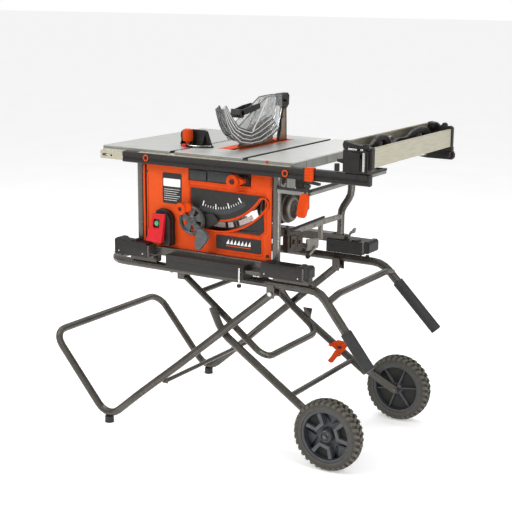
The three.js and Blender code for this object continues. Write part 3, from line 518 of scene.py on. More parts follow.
for out, end in ENDS:
    centre = (WHEEL_X, out * WHEEL_Y, WHEEL_Z)
    obj = tyre_mesh(centre).done(f"tread_tyre_{end}", f"{end}_wheel", "tyre")
    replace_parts(obj, f"tyre_{end}")
    rim, pocket_shade = Build(), Build()
    rim.turned([(75, -22), (84, -22), (84, 22), (80, 23.5), (76, 22), (74, 8), (74, -8)], centre, "y", 64,
               closed=True)
    rim.turned([(20, -6 * out), (77, -6 * out), (77, -out), (20, -out)][::out], centre, "y", 64, closed=True)
    rim.turned([(0, -20), (19, -20), (21, -10), (24, 0), (21, 12), (17, 21), (13, 23), (12, 19), (0, 19)],
               centre, "y", 32)
    # Painted shade: black pieces in the rim's hollows stand for the shade in its pockets.
    pocket_shade.turned([(24, -7 * out), (75, -7 * out), (75, -6 * out), (24, -6 * out)][::out], centre, "y", 64,
                   closed=True)
    for k in range(6):
        place = spoke_place(centre, out, math.pi * k / 3 + 0.15)
        rim.loops([[place(r, v, y) for v, y in ((-2, -6), (2, -6), (1.5, high), (-1.5, high))]
                   for r, high in ((20, -19), (76, -15))])
    for k in range(3):
        place = spoke_place(centre, out, 2 * math.pi * k / 3 + 0.3)
        for edge in (-1, 1):
            wheel_bar(rim, place, [(30, edge * 8), (34, edge * 20)], [(69, edge * 25), (64, edge * 37)],
                      -6, 15)
        wheel_bar(rim, place, [(30, -20), (41, -18)], [(30, 20), (41, 18)], -6, 15)
        wheel_bar(pocket_shade, place, [(41, -12), (41, 12)], [(73, -24), (73, 24)], -4, 1)
        for v in (-1, 1):
            wheel_bar(rim, place, [(24, v * 34), (29, v * 38)], [(58, v * 45), (62, v * 41)], -4, 5)
    collar = [(13, 19 * out), (17, 19 * out), (18.5, 22 * out), (16, 23.6 * out), (13.5, 22 * out)]
    rim.turned(collar[::out], centre, "y", 32, closed=True)
    pocket_shade.done(f"rim_pocket_shade_{end}", f"{end}_wheel", "grey", "scale")
    obj = rim.done(f"spoked_rim_{end}", f"{end}_wheel", "grey", "rim", bevel=0.8)
    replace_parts(obj, f"wheel_rim_{end}")


# ---------------- panel controls
BEVEL_KNOB = (-111, 761)
RAIL_KNOB = (79, 864)
CRANK = (-75, 0, 727)


def oval(a, b, steps=10):
    """The outline round two circles, each (x, z, radius)."""
    ax, az, ar = a
    bx, bz, br = b
    along = math.atan2(bz - az, bx - ax)
    tilt = math.acos(max(-1.0, min(1.0, (ar - br) / math.hypot(bx - ax, bz - az))))
    points = []
    for k in range(steps + 1):
        t = along + tilt + (2 * math.pi - 2 * tilt) * k / steps
        points.append((ax + ar * math.cos(t), az + ar * math.sin(t)))
    for k in range(steps + 1):
        t = along - tilt + 2 * tilt * k / steps
        points.append((bx + br * math.cos(t), bz + br * math.sin(t)))
    return points


def cup(build, x, z, radius, back, front, hole):
    """A round knob with a recess in its face."""
    build.turned([(0, back), (radius * 0.86, back), (radius * 0.97, back - 4), (radius, front + 3),
                  (radius - 1.2, front + 0.8), (radius - 3, front), (hole + 2.2, front), (hole, front + 1.6),
                  (hole * 0.8, front + 9), (0, front + 9)], (x, 0, z), "y", 36)


knob = Build()
cup(knob, *BEVEL_KNOB, 19.5, -268, -289, 6.6)
knob.prism(oval((*BEVEL_KNOB, 14), (-86, 768, 14)), -283, -268)
knob.prism(oval((-104, 762, 10), (-75, 735, 9)), -268.5, -264.5)
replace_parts(knob.done("bevel_lock_knob", "bevel_lock", "orange", bevel=1.6, segments=3), "bevel_lock_lever")
knob = Build()
cup(knob, *RAIL_KNOB, 22, -262, -283.6, 7.0)
knob.prism(oval((*RAIL_KNOB, 18), (108, 866, 7.5)), -277, -258)
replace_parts(knob.done("rail_lock_knob", "rail_lock", "orange", bevel=1.8, segments=3), "rail_lock_lever")
# Painted shade: a black disc inside each knob's hole stands for the shade in it.
for body, (x, z), r, y in (("bevel_lock", BEVEL_KNOB, 6.2, -286.6), ("rail_lock", RAIL_KNOB, 6.6, -288.6)):
    inside = [(0, y + 3), (r, y + 3), (r, y + 0.6), (r - 1.4, y), (0, y + 1)]
    Build().turned(inside, (x, 0, z), "y", 20).done(body + "_hole_shade", body, "black")
# Painted shade: dark plates on the panel face stand for the shade in the panel's notches beside the rail lock
# knob.
dark = Build().prism(rounded(-100, -37, 851, 882, 3), -250.4, -246.5)
dark.prism(rounded(-31, 62, 851, 884, 3), -250.4, -246.5)
dark.done("notch_shade_plates", "saw", "black", "recess", bevel=1.0)
housing = Build().prism([(96, 852), (124, 852), (124, 886), (92, 886)], -252.5, -246)
housing.turned([(0, -246), (15, -246), (15, -257), (13, -259), (0, -259)], (108, 0, 866), "y", 28)
housing.done("rail_lock_housing", "saw", "black", bevel=1.2)
ridges = Build()
ridges.prism([(128, 852), (198, 852), (198, 886), (190, 889), (150, 889), (134, 882), (128, 868)],
             -252.5, -250.1)
ridges.prism([(-279.5, 626), (-272, 626), (-270, 700), (-272, 780), (-272, 884), (-279.5, 884)],
             -252.2, -250.1)
ridges.prism([(-105, 829), (-98, 829), (-98, 843), (126, 843), (126, 848.5), (-105, 848.5)], -252.2, -250.1)
ridges.done("panel_ridges", "saw", "orange", bevel=0.9)
wheel = Build()
wheel.turned([(38, -268), (44, -267), (47, -270), (47.5, -274), (46, -278), (42, -279.5), (38, -277.5),
              (37, -272)], CRANK, "y", 64, closed=True)
wheel.turned([(0, -267), (17, -267), (17.5, -275), (13, -278), (8.5, -278.5), (7, -276), (0, -276)], CRANK,
             "y", 32)
for k in range(5):
    place = spoke_place(CRANK, 1, math.radians(20 + 72 * k))
    wheel.loops([[place(r, spread * v, y) for v, y in ((-6.5, -268), (6.5, -268), (6.5, -274), (-6.5, -274))]
                 for r, spread in ((12, 1), (39.5, 2.5))])
wheel.turned([(0, -284), (4.6, -284), (4.6, -274), (9, -272), (0, -272)], (-42, 0, 702), "y", 20)
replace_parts(wheel.done("lift_wheel", "crank", "grey", "wheel", bevel=1.0, segments=3), "handwheel")
grip = Build()
grip.prism([(-40, 706), (-28, 710), (-15, 704), (-2, 690), (0, 681), (-8, 668), (-28, 644), (-38, 638),
            (-46, 642), (-50, 654), (-49, 668), (-44, 688)], -299, -283)
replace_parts(grip.done("lift_handle", "crank_handle", "grey", bevel=4.5, segments=4), "crank_grip")
arm = Build()
arm.prism([(-40, 748), (-4, 755), (14, 738), (18, 730), (10, 722), (-10, 711), (-42, 704), (-60, 722)],
          -264, -257)
arm.done("tilt_pointer_block", "cradle", "black", "scale", bevel=3.0, segments=3)

paddle = Build()
paddle.loops([
    [(-220, -285, 735), (-171, -285, 737), (-171, -277, 737), (-220, -277, 735)],
    [(-223, -289, 715), (-172, -289, 715), (-172, -277, 715), (-223, -277, 715)],
    [(-228, -293, 690), (-174, -293, 690), (-174, -279, 690), (-228, -279, 690)],
    [(-236, -301, 648), (-177, -301, 645), (-177, -283, 645), (-236, -283, 648)],
])
obj = paddle.done("switch_paddle", "paddle", "red")
carve(obj, Build().prism(rounded(-214, -190, 691, 719, 3), -310, -260))
dress(obj, MAT["red"], 2.2, 40.0)
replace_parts(obj, "stop_paddle")
well = Build().prism(rounded(-216, -188, 689, 721, 3), -282.5, -270.5)
well.done("switch_well", "saw", "black", bevel=0.6)
button = Build()
button.turned([(0, -264), (8, -264), (8.5, -286), (7.4, -288), (0, -288.6)], (-202, 0, 705), "y", 30)
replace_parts(button.done("start_key", "button", "green"), "start_button")
hood = Build()
hood.prism([(-224, 634), (-158, 634), (-155, 640), (-155, 716), (-158, 730), (-168, 743), (-184, 749),
            (-205, 749), (-219, 742), (-224, 732)], -266, -250.3)
hood.prism([(-178, 634), (-160, 634), (-157, 642), (-157, 714), (-161, 728), (-170, 739), (-178, 742)],
           -279, -265)
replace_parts(hood.done("switch_hood", "saw", "black", bevel=3.0, segments=3), "switch_housing")

# ---------------- mitre gauge
MITRE_X = -142
KNOB_X, KNOB_Y = -166, -162


def mitre_arc(start, width, depth, degrees):
    """A point on the rim of the gauge's half round plate; start is the Y of its straight side."""
    t = math.radians(degrees)
    return (MITRE_X + width * math.cos(t), start - depth * math.sin(t))


gauge = Build()
gauge.prism([(-203, 941), (-82, 941), (-88, 946), (-104, 990), (-112, 994), (-190, 994), (-203, 986),
             (-206, 975), (-204, 955)], -146, -137)
gauge.prism([mitre_arc(-142, 62, 34, t) for t in range(0, 181, 10)], 940.6, 946, "z")
for x in (-192, -150, -112):
    gauge.loops([[(x - 2, -146, 946), (x + 2, -146, 946), (x + 2, -146, 986), (x - 2, -146, 986)],
                 [(x - 2, -168, 946), (x + 2, -168, 946), (x + 2, -166, 948), (x - 2, -166, 948)]])
gauge.prism(rounded(-196, -100, 946, 952, 2), -150, -146)
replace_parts(gauge.done("mitre_gauge_body", "mitre_gauge", "black", bevel=1.2, segments=3), "mitre_head")
Build().path([(*mitre_arc(-143, 61, 33, t), 946.3) for t in range(4, 177, 6)], 0.9, 6).done(
    "mitre_scale_edge", "mitre_gauge", "steel", "silver")
marks = Build()
for t in range(20, 161, 5):
    inner = 0.80 if t % 15 else 0.74
    marks.rod((*mitre_arc(-143, 60 * inner, 32 * inner, t), 946.2), (*mitre_arc(-143, 56, 30.5, t), 946.2),
              0.45, 5)
marks.done("mitre_scale_marks", "mitre_gauge", "black", "white")
handle = Build()
handle.turned([(0, 947), (7, 947), (7, 957), (15.5, 958), (16.5, 962), (16.5, 990), (15, 995), (11, 996.5),
               (0, 997)], (KNOB_X, KNOB_Y, 0), "z", 40)
for k in range(12):
    t = 2 * math.pi * k / 12
    x, y = KNOB_X + 15.6 * math.cos(t), KNOB_Y + 15.6 * math.sin(t)
    handle.rod((x, y, 961), (x, y, 991), 1.3, 8)
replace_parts(handle.done("mitre_handle_knob", "mitre_handle", "orange"), "mitre_knob")
Build().prism([(-178, -180), (-170, -185), (-160, -183), (-162, -177), (-174, -174)], 941.2, 950, "z").done(
    "mitre_pointer", "mitre_gauge", "orange", "red", bevel=1.2)

# ---------------- clear guard
def part_way(a, b, share):
    return (a[0] + (b[0] - a[0]) * share, a[1] + (b[1] - a[1]) * share)


def shield(side, x0, x1, low, face):
    """One side of the guard from x0 to x1, its lowest edge at low, with ribs and glints on its outer face."""
    top = [(-232, 1076), (-214, 1084), (-180, 1046), (-145, 1012), (-96, 1036), (-47, 1061), (25, 1094),
           (100, 1096), (126, 1095), (130, 1064), (122, 1036), (112, 1010)]
    bottom = [(106, 984), (60, low + 16), (30, low + 6), (0, low), (-70, low), (-105, low + 3),
              (-130, max(958, low + 4)), (-160, 972), (-186, 994), (-208, 1022), (-222, 1050)]
    shell = Build().prism(top + bottom, x0, x1, "x")
    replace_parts(shell.done("guard_side_" + side, "guard", "clear"), "guard_shield_" + side)
    lower = [(106, 984), (60, low + 16), (0, low + 1), (-70, low + 1), (-130, max(960, low + 5)),
             (-186, 995), (-208, 1022), (-222, 1050), (-232, 1076)]
    upper = [(60, 1032), (20, 1020), (-24, 1004), (-62, 992), (-96, 1000), (-138, 1010), (-166, 1032),
             (-190, 1056), (-215, 1083)]
    ribs, glints = Build(), Build()
    # The ribs take the dark rib colour, partly smoky tint and partly painted dark reflection.
    for line, r in ((lower, 2.2), (upper, 2.0), (top[1:9], 1.6)):
        ribs.path([(face, y, z) for y, z in line], r, 8)
    for share in (0.22, 0.5, 0.78):
        ribs.path([(face, *part_way(a, b, share)) for a, b in zip(lower, upper)], 1.7, 6)
    pieces = 5
    for a, b, c, d in zip(lower, upper, lower[1:], upper[1:]):
        for k in range(pieces):
            ribs.rod((face, *part_way(a, c, k / pieces)), (face, *part_way(b, d, k / pieces)), 1.0, 6)
    ribs.done("guard_ribs_" + side, "guard", "clear", "rib")
    # Painted highlights: white strips on the shield stand for glints of reflected light.
    for share in (0.11, 0.36, 0.64, 0.89):
        glints.path([(face, *part_way(a, b, share)) for a, b in zip(lower, upper)], 1.6, 6)
    glints.path([(face, -60, 990), (face, -20, 1030), (face, 28, 1086)], 3.0, 8)
    glints.path([(face, 66, 1030), (face, 74, 1060), (face, 84, 1088)], 1.6, 8)
    glints.done("guard_glints_" + side, "guard", "clear", "white")


shield("right", 10, 13, 948, 13.2)
shield("left", -13, -10, 963, -13.2)

# ---------------- table details
edge = Build()
for x0, x1 in ((-413.5, -151.8), (-132.2, 116.2), (135.8, 289.5)):
    edge.box(x0, x1, -282.9, -281.9, 929.3, 937.8)
    edge.box(x0, x1, 281.9, 282.9, 911, 937.8)
edge.box(-414.9, -413.9, -282.5, 282.5, 911, 937.8)
edge.done("table_edge_band", "saw", "table", "skirt")
skirt = Build().box(289.9, 290.8, -282.5, 282.5, 910.5, 936.5)
for y in (-200, -70, 70, 200):
    skirt.box(290.6, 292.2, y - 1.5, y + 1.5, 911.5, 934)
skirt.done("table_right_side", "saw", "table", "skirt", bevel=0.3)
# Painted shade: dark strips on the walls and floors of the mitre slots stand for the shade in the slots.
shade_strips = Build()
for x in (MITRE_X, 126):
    for wall in (x - 9.1, x + 9.1):
        shade_strips.box(wall - 0.35, wall + 0.35, -281.6, 281.6, 933.1, 939.7)
shade_strips.box(116.9, 135.1, -281.6, 281.6, 932.9, 933.3)
shade_strips.box(-151.1, -132.9, 182, 281.6, 932.9, 933.3)
shade_strips.box(-151.1, -132.9, -281.6, -264, 932.9, 933.3)
shade_strips.done("mitre_slot_shade_strips", "saw", "table", "shadow")
Build().prism([(196, 938.4), (210, 938.4), (203, 930)], -284.2, -282.6).done("rail_marker", "saw", "red")
plate_screws = Build()
for x, y in ((-50, -135), (12, -135), (-50, 186), (12, 186)):
    plate_screws.turned([(0, 939.6), (4.2, 939.6), (4.0, 940.3), (1.6, 940.4), (1.3, 939.9), (0, 939.9)],
                        (x, y, 0), "z", 14)
plate_screws.done("throat_screws", "saw", "steel", "silver")
Build().box(-262, 288, -301, -284.5, 929.1, 930.0).done("fence_rule", "rail_slide", "rail")
marks = Build()
for k in range(57):
    x = -155 + 7.7 * k
    marks.box(x - 0.4, x + 0.4, -300, -300 + (9 if k % 5 == 0 else 5), 929.9, 930.3)
marks.done("fence_rule_marks", "rail_slide", "rail", "scale")

# ---------------- fence
channel = Build()
channel.prism([(473.5, 946), (552.5, 946), (552.5, 1002), (551.5, 1003), (545.5, 1003), (545.5, 999),
               (548.5, 998), (548.5, 949.5), (477.5, 949.5), (477.5, 1014), (481, 1015), (481, 1020),
               (480, 1021), (474, 1021), (473.5, 1020)], -284, 281)
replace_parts(channel.done("fence_extrusion", "fence", "rail", bevel=0.7), "fence_channel")
stick = Build()
rear_back = [(175, 1014), (150, 1019.5), (127, 1020), (100, 1018), (66, 1013), (40, 1004)]
stick.prism([(-278, 952), (214, 952), (226, 962), (222, 985), (209, 995), (197, 1004), *rear_back,
             (15, 1001), (-20, 1003), (-36, 1004), (-56, 1000), (-70, 992), (-85, 990), (-98, 998),
             (-107, 1012), (-130, 1021), (-162, 1024), (-190, 1018), (-218, 1004), (-250, 1000),
             (-278, 1000)], 503, 516, "x")
obj = stick.done("push_stick_body", "fence", "black")
carve(obj, Build().prism(rounded(90, 160, 972, 1002, 14), 490, 530, "x"))
carve(obj, Build().prism(rounded(-180, -130, 975, 1008, 14), 490, 530, "x"))
dress(obj, MAT["black"], 2.0)
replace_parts(obj, "push_stick")
line = Build()
front_back = ((-190, 1018), (-176, 1021), (-162, 1024), (-146, 1022.5), (-130, 1021))
for run in (rear_back[::-1], front_back):
    line.path([(509.5, y, z + 0.6) for y, z in run], 2.2, 8)
line.turned([(11, 506), (14.5, 506), (14.5, 513), (11, 513)], (0, -85, 1001), "x", 28, closed=True)
line.done("push_stick_rims", "fence", "black", "grey")
block = Build().box(467, 545, -311, -285, 931.5, 996)
block.prism([(467, 997), (548, 997), (552, 1004), (530, 1009), (500, 1013), (468, 1021), (464, 1010)],
            -309, -284.5)
block.prism(rounded(483, 528, 934, 976, 5), -318, -310.5)
block.box(531, 541, -316, -309, 933, 998)
block.prism([(543, 940), (555, 942), (555, 1004), (543, 1001)], -303, -285)
block.prism([(449, 960), (468, 956), (468, 970), (449, 968)], -312, -300)
block.box(440, 452, -310, -298, 932, 954)
for k in range(4):
    block.box(486 + 10 * k, 492 + 10 * k, -312, -308.5, 1000, 1006)
block.turned([(0, -300), (8, -300), (8.5, -312), (6, -315), (0, -315)], (536, 0, 1008), "y", 20)
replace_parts(block.done("fence_head_body", "fence", "black", bevel=1.6, segments=3), "fence_head")
silver = Build().prism(rounded(531.6, 538.4, 938, 992, 2.5), -317.6, -315.8)
silver.prism(rounded(484, 512, 996, 1001, 1.5), -313.2, -310.4)
silver.prism(rounded(522, 531, 996, 1001, 1.5), -313.2, -310.4)
silver.done("fence_head_trim", "fence", "black", "silver", bevel=0.5)
lever = Build().prism(rounded(487, 524, 937, 990, 4), -322, -318.5)
lever.prism(rounded(493, 518, 941, 950, 3), -323.2, -321.5)
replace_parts(lever.done("fence_lever_paddle", "fence_lever", "black", bevel=1.4, segments=3),
            "fence_lock_lever")
cap = Build()
cap.prism([(471, 943), (556, 943), (556, 1006), (548, 1012), (528, 1010), (520, 1016), (512, 1010),
           (500, 1020), (478, 1023), (471, 1021)], 281.6, 297)
cap.box(474, 549, 277, 282, 950, 996)
cap.prism([(478, 1004), (500, 1004), (500, 1021), (478, 1023)], 262, 282)
cap.turned([(0, 285), (9, 285), (9, 297), (6, 301), (0, 301)], (525, 0, 1012), "y", 20)
cap.box(469, 556, 285, 302, 929.8, 944)
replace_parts(cap.done("fence_rear_clamp", "fence", "black", bevel=1.8, segments=3), "fence_end_cap")
wedge = Build()
wedge.prism([(430, 903), (462, 900), (548, 900), (556, 906), (557, 918), (552, 929), (520, 929), (470, 912)],
            304, 317)
wedge.done("rear_rail_handle", "rail_slide", "black", bevel=4.0, segments=3)

# ---------------- rail clamp
band = Build()
band.prism([(346, 894), (370, 894), (372, 897), (372, 931), (369, 934), (347, 934), (345, 931), (345, 897)],
           -311, -303.4)
band.box(346, 371, -304, -290, 929.4, 934)
for k in range(4):
    band.box(348, 369, -312.0, -310.8, 899 + 9 * k, 900.5 + 9 * k)
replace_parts(band.done("rail_clamp_band", "rail_slide", "orange", bevel=1.4, segments=3), "rail_clamp")
under = Build().prism([(352, 888), (392, 884), (392, 891), (366, 894.5), (352, 894.5)], -310, -296)
under.box(337, 344.6, -308, -303.2, 890, 933)
under.done("rail_clamp_foot", "rail_slide", "black", bevel=1.2)
pull = Build()
pull.loops([[(337, -309, 857), (350, -309, 857), (350, -301, 857), (337, -301, 857)],
            [(331, -312, 850), (357, -312, 852), (358, -298, 852), (330, -298, 850)],
            [(325, -313, 822), (355, -313, 824), (356, -297, 824), (324, -297, 822)],
            [(320, -312, 794), (348, -312, 792), (349, -298, 792), (319, -298, 794)],
            [(325, -310, 785), (344, -310, 784), (344, -300, 784), (325, -300, 785)]])
pull.done("clamp_pull", "clamp_lever", "orange", bevel=2.2, segments=3)
stem = Build().prism([(342, 855), (348, 855), (356, 890), (350, 890)], -308, -303)
stem.turned([(0, 344), (5.5, 344), (5.5, 362), (0, 362)], (0, -306, 880), "x", 16)
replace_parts(stem.done("clamp_stem", "clamp_lever", "black", "scale", bevel=0.8), "rail_clamp_lever")

# ---------------- saddles on the stand
def facing(side, profile):
    """A turned profile given for the rear side, mirrored where it is for the front."""
    return profile if side > 0 else [(r, -d) for r, d in reversed(profile)]


def bolt_heads(build, side, face, spots, radius):
    head = [(0, face - 0.5), (radius, face - 0.5), (radius, face + 1.6), (radius * 0.65, face + 2.4),
            (0, face + 2.4)]
    for x, z in spots:
        build.turned(facing(side, head), (x, 0, z), "y", 16)


def stud(r, wide, low, middle, high):
    return [(0, low), (r, low), (wide, middle), (r, high), (0, high)]


for side, end in ENDS:
    ends = Build()
    ends.prism([(-363, 592), (-361, 590), (-235, 590), (-235, 634), (-244, 637), (-330, 640), (-338, 645),
                (-352, 645), (-360, 641), (-363, 636)], *across(side, 262, 299))
    ends.prism([(-300, 640), (-292, 644), (-280, 644), (-274, 638)], *across(side, 266, 296))
    ends.turned(stud(7, 8.5, 584, 588, 594), (-214, side * 276, 0), "z", 20)
    ends.turned(stud(5.5, 6.5, 533, 537, 541), (-190, side * 222, 0), "z", 20)
    ends.box(-357, -240, *across(side, 298.6, 299.8), 614, 616)
    beam = Build().box(-345, -240, *across(side, 210, 239), 562.6, 600)
    beam.box(-233, -225, *across(side, 262, 300), 594, 631)
    pins = Build()
    if side < 0:
        ends.box(-159, 131, -299, -240, 566, 611)
        ends.prism([(192, 588), (336, 588), (336, 631), (330, 635), (318, 635), (312, 631), (222, 631),
                    (216, 634), (206, 634), (200, 631), (192, 631)], -299, -256)
        ends.prism([(341, 600), (358, 600), (360, 604), (360, 630), (354, 636), (341, 636)], -297, -262)
        ends.turned(stud(6, 7, 590, 595, 600), (350, -290, 0), "z", 20)
        ends.turned(stud(6, 7.5, 543, 548, 553), (118, -301, 0), "z", 20)
        ends.box(-150, 122, -299.8, -298.6, 589, 591)
        ends.box(200, 330, -299.8, -298.6, 611, 613)
        beam.prism([(-300, 596), (340, 596), (340, 620), (336, 624), (-300, 624)], -264, -226.5)
        beam.box(200, 325, -239, -210, 562.6, 600)
        beam.box(335.6, 341.4, -299.6, -258, 592, 630)
        beam.prism([(131, 588), (176, 583), (192, 589), (192, 597), (131, 597)], -292, -258)
        beam.box(-226, 330, -266, -262, 619, 624.4)
        pins.rod((118, -301, 550), (118, -301, 604), 3.0, 16)
        bolt_heads(pins, -1, 299, [(206, 598), (322, 598)], 2.6)
    else:
        ends.box(142, 276, 220, 296, 562.6, 607)
        ends.prism([(284, 570), (300, 570), (304, 575), (304, 604), (298, 611), (284, 611)], 222, 294)
        ends.prism([(232, 606), (262, 606), (258, 612), (238, 612)], 224, 250)
        ends.turned(stud(6, 7, 556, 561, 566), (296, 226, 0), "z", 20)
        ends.box(150, 270, 219.2, 220.4, 584, 586)
        beam.prism([(-300, 596), (178, 596), (178, 618), (172, 624), (-300, 624)], 226.5, 264)
        beam.box(154, 206, 228, 256, 600, 624)
        beam.box(277, 285, 219.4, 295, 566, 608)
    bolt_heads(pins, side, 299, [(-345, 602), (-250, 602)], 2.6)
    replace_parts(ends.done("saddle_blocks_" + end, "saw", "black", bevel=1.6, segments=3),
                "saddle_" + end)
    beam.done("saddle_beam_" + end, "saw", "black", "tube", bevel=1.2, segments=3)
    pins.done("saddle_pins_" + end, "saw", "black", "silver", bevel=0.3)

loop_bolt = Build().turned([(0, 561), (7, 561), (7, 566), (4.5, 569), (0, 569)], (-440, -196, 0), "z", 24)
loop_bolt.done("loop_bolt", "saw", "steel", "silver", bevel=0.4)

# ---------------- mechanism beside the cage
arm = Build()
arm.prism([(-150, 672), (-60, 684), (222, 681), (222, 695), (64, 700), (-60, 700), (-150, 694)], 184, 199,
          "x")
arm.prism([(-24, 616), (44, 612), (52, 620), (52, 644), (-24, 654)], 196, 203, "x")
arm.box(184, 198, 78, 90, 634, 684)
for y in (-40, 30, 96, 160, 205):
    arm.turned([(0, 198), (5, 198), (5, 201), (3, 202), (0, 202)], (0, y, 690), "x", 18)
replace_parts(arm.done("lock_arm", "saw", "motor", bevel=1.2, segments=3), "side_arm")
brown = Build()
brown.prism([(-152, 634), (-64, 624), (-56, 632), (-56, 680), (-70, 690), (-138, 700), (-152, 692)],
            184, 203, "x")
brown.prism([(-138, 646), (-102, 642), (-102, 682), (-138, 686)], 202, 207, "x")
brown.prism([(-94, 640), (-66, 636), (-66, 672), (-94, 676)], 202, 205, "x")
brown.rod((204, -120, 664), (212, -120, 664), 7, 20)
brown.rod((204, -80, 656), (210, -80, 656), 6, 20)
brown.box(186, 198, -226, -152, 690, 712)
brown.done("lock_block", "saw", "motor", "mechanism", bevel=1.2, segments=3)
dark = Build().path([(203, -164, 690), (203, -152, 704), (203, 84, 710)], 4.2, 14)
dark.turned([(0, -42), (6, -42), (7.5, -38), (7.5, -32), (5, -28), (0, -28)], (211, 0, 601), "y", 22)
dark.prism([(-166, 698), (-150, 694), (-146, 706), (-156, 722)], 198, 207, "x")
dark.prism([(-56, 634), (-24, 624), (-24, 640), (-56, 650)], 190, 200, "x")
dark.done("lock_rod", "saw", "black", bevel=0.6)
pin = Build().path([(211, -32, 602), (211, 6, 616), (205, 24, 622)], 3.4, 16)
pin.done("lock_pin", "saw", "motor", "silver")
hook = Build().path([(214, 246, 606), (214, 246, 618), (222, 246, 632), (232, 246, 638)], 4.5, 12)
hook.prism([(226, 628), (236, 632), (240, 646), (234, 650), (228, 642)], 240, 252)
hook.done("cord_hook", "saw", "motor", "skirt", bevel=0.8)
bracket = Build().box(214, 220, -192, -140, 832, 905)
bracket.prism([(-226, 850), (-192, 832), (-192, 846), (-226, 866)], 214, 218, "x")
bracket.box(208, 222, -196, -136, 900, 909)
bracket.done("rail_bracket", "saw", "motor", "skirt", bevel=1.0)
brace_bar = Build().box(332, 338, -264, 264, 842, 853)
brace_lip = Build().box(330, 340, -264, 264, 853, 860)
for face in (-1, 1):
    root = 227 if face < 0 else 205
    brace_bar.box(root, 338, *across(face, 258, 264), 842, 853)
    brace_lip.box(root, 340, *across(face, 256, 265), 853, 860)
    brace_lip.box(222, 234, *across(face, 246, 260), 842.5, 859.5)
brace_bar.done("brace_bar", "saw", "tube", "skirt", bevel=1.0)
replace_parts(brace_lip.done("brace_lip", "saw", "tube", "scale", bevel=1.0), "side_brace")
# A return flange behind the panel's left edge, coloured black as painted shade in the gap between the tube
# and the panel.
Build().box(-283, -262, -246, -242, 626, 886).done("panel_flange_shade", "saw", "tube", "scale")

# ---------------- guard bar
bar = Build()
for face in (-1, 1):
    bar.prism([(-132, 1046), (-60, 1054), (-18, 1062), (-20, 1078), (-70, 1074), (-120, 1066), (-134, 1062)],
              *across(face, 13.5, 18.5), "x")
bar.prism([(-142, 1050), (-134, 1040), (-120, 1040), (-116, 1052), (-122, 1066), (-138, 1068)], -18.5, 18.5,
          "x")
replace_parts(bar.done("guard_bow", "guard", "black", bevel=1.4, segments=3), "guard_front_bar")

# ---------------- motor
MOTOR_Y, MOTOR_Z = 20, 738
MOTOR = (0, MOTOR_Y, MOTOR_Z)
shell = Build()
shell.turned([(0, 22.3), (42, 22.3), (46, 26), (46, 104), (44, 108), (44, 116), (40, 122), (30, 128),
              (14, 128), (12, 125), (0, 125)], MOTOR, "x", 56)
for k in range(20):
    t = 2 * math.pi * k / 20
    y, z = MOTOR_Y + 45 * math.cos(t), MOTOR_Z + 45 * math.sin(t)
    shell.rod((32, y, z), (100, y, z), 1.6, 6)
shell.box(40, 96, -4, 44, 690, 697)
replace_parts(shell.done("motor_shell", "carriage", "motor", "mechanism", bevel=0.5), "motor")
rims = Build()
for a, b in ((26, 32), (103, 109)):
    rims.turned([(45.5, a), (47.4, a), (47.4, b), (45.5, b)], MOTOR, "x", 56, closed=True)
rims.turned([(38, 121.5), (40.5, 121.5), (30.5, 128.3), (28.5, 127)], MOTOR, "x", 48, closed=True)
rims.done("motor_rims", "carriage", "motor")

# ---------------- stand latch and trim
latch = Build()
latch.prism([(169, 236), (188, 250), (207, 260), (228, 259), (244, 246), (235, 229), (220, 214), (210, 218),
             (200, 227), (190, 234)], 195, 202)
latch.prism([(197, 221), (184, 199), (170, 180), (180, 174), (190, 176), (200, 191), (206, 199), (220, 205),
             (212, 218)], 195.6, 201.4)
latch.rod((232, 187, 248), (232, 202.4, 248), 6, 20)
latch.rod((184, 187, 240), (184, 202.4, 240), 5, 20)
obj = latch.done("latch_body", "latch", "orange")
carve(obj, Build().prism([(204, 238), (223, 244), (226, 234), (211, 228)], 190, 207))
dress(obj, MAT["orange"], 1.2)
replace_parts(obj, "stand_latch")
plate = Build().prism([(206, 236), (221, 241), (223, 236), (211, 231)], 196.5, 199)
plate.done("latch_spring", "latch", "orange", "scale")
for face in (-1, 1):
    for x, z, y, body in ((191, 519, 240.4, "saw"), (2, 357, 243.4, "feet"), (-176, 519, 187.4, "saw")):
        head = facing(face, [(0, y - 0.4), (8, y - 0.4), (8, y + 2), (6, y + 3.6), (0, y + 3.6)])
        name = f"pivot_head_{x}_{face}".replace("-", "m")
        Build().turned(head, (x, 0, z), "y", 22).done(name, body, "tube", "silver")

# ---------------- riving knife
blank = Build().prism([(141, 850), (160, 850), (184, 934), (180, 1040), (181, 1086), (150, 1094),
                       (136, 1060), (131, 1020), (126, 985), (118, 950), (114, 938), (121, 900), (132, 878),
                       (141, 872)], -1.1, 1.1, "x")
obj = blank.done("knife_blank", "carriage", "motor", "scale")
carve(obj, Build().rod((-5, 152, 1012), (5, 152, 1012), 3.6, 24))
dress(obj, MAT["scale"], 0.3)
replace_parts(obj, "riving_knife")
# The knife's sides carry bronze-toned strips.
for name, x0, x1 in (("right", 1.15, 1.4), ("left", -1.4, -1.15)):
    strip = Build().prism([(134, 942), (176, 942), (174, 1000), (172, 1044), (160, 1044), (152, 1022),
                           (142, 1000), (136, 968)], x0, x1, "x")
    strip.done("knife_bronze_strip_" + name, "carriage", "motor", "bronze")

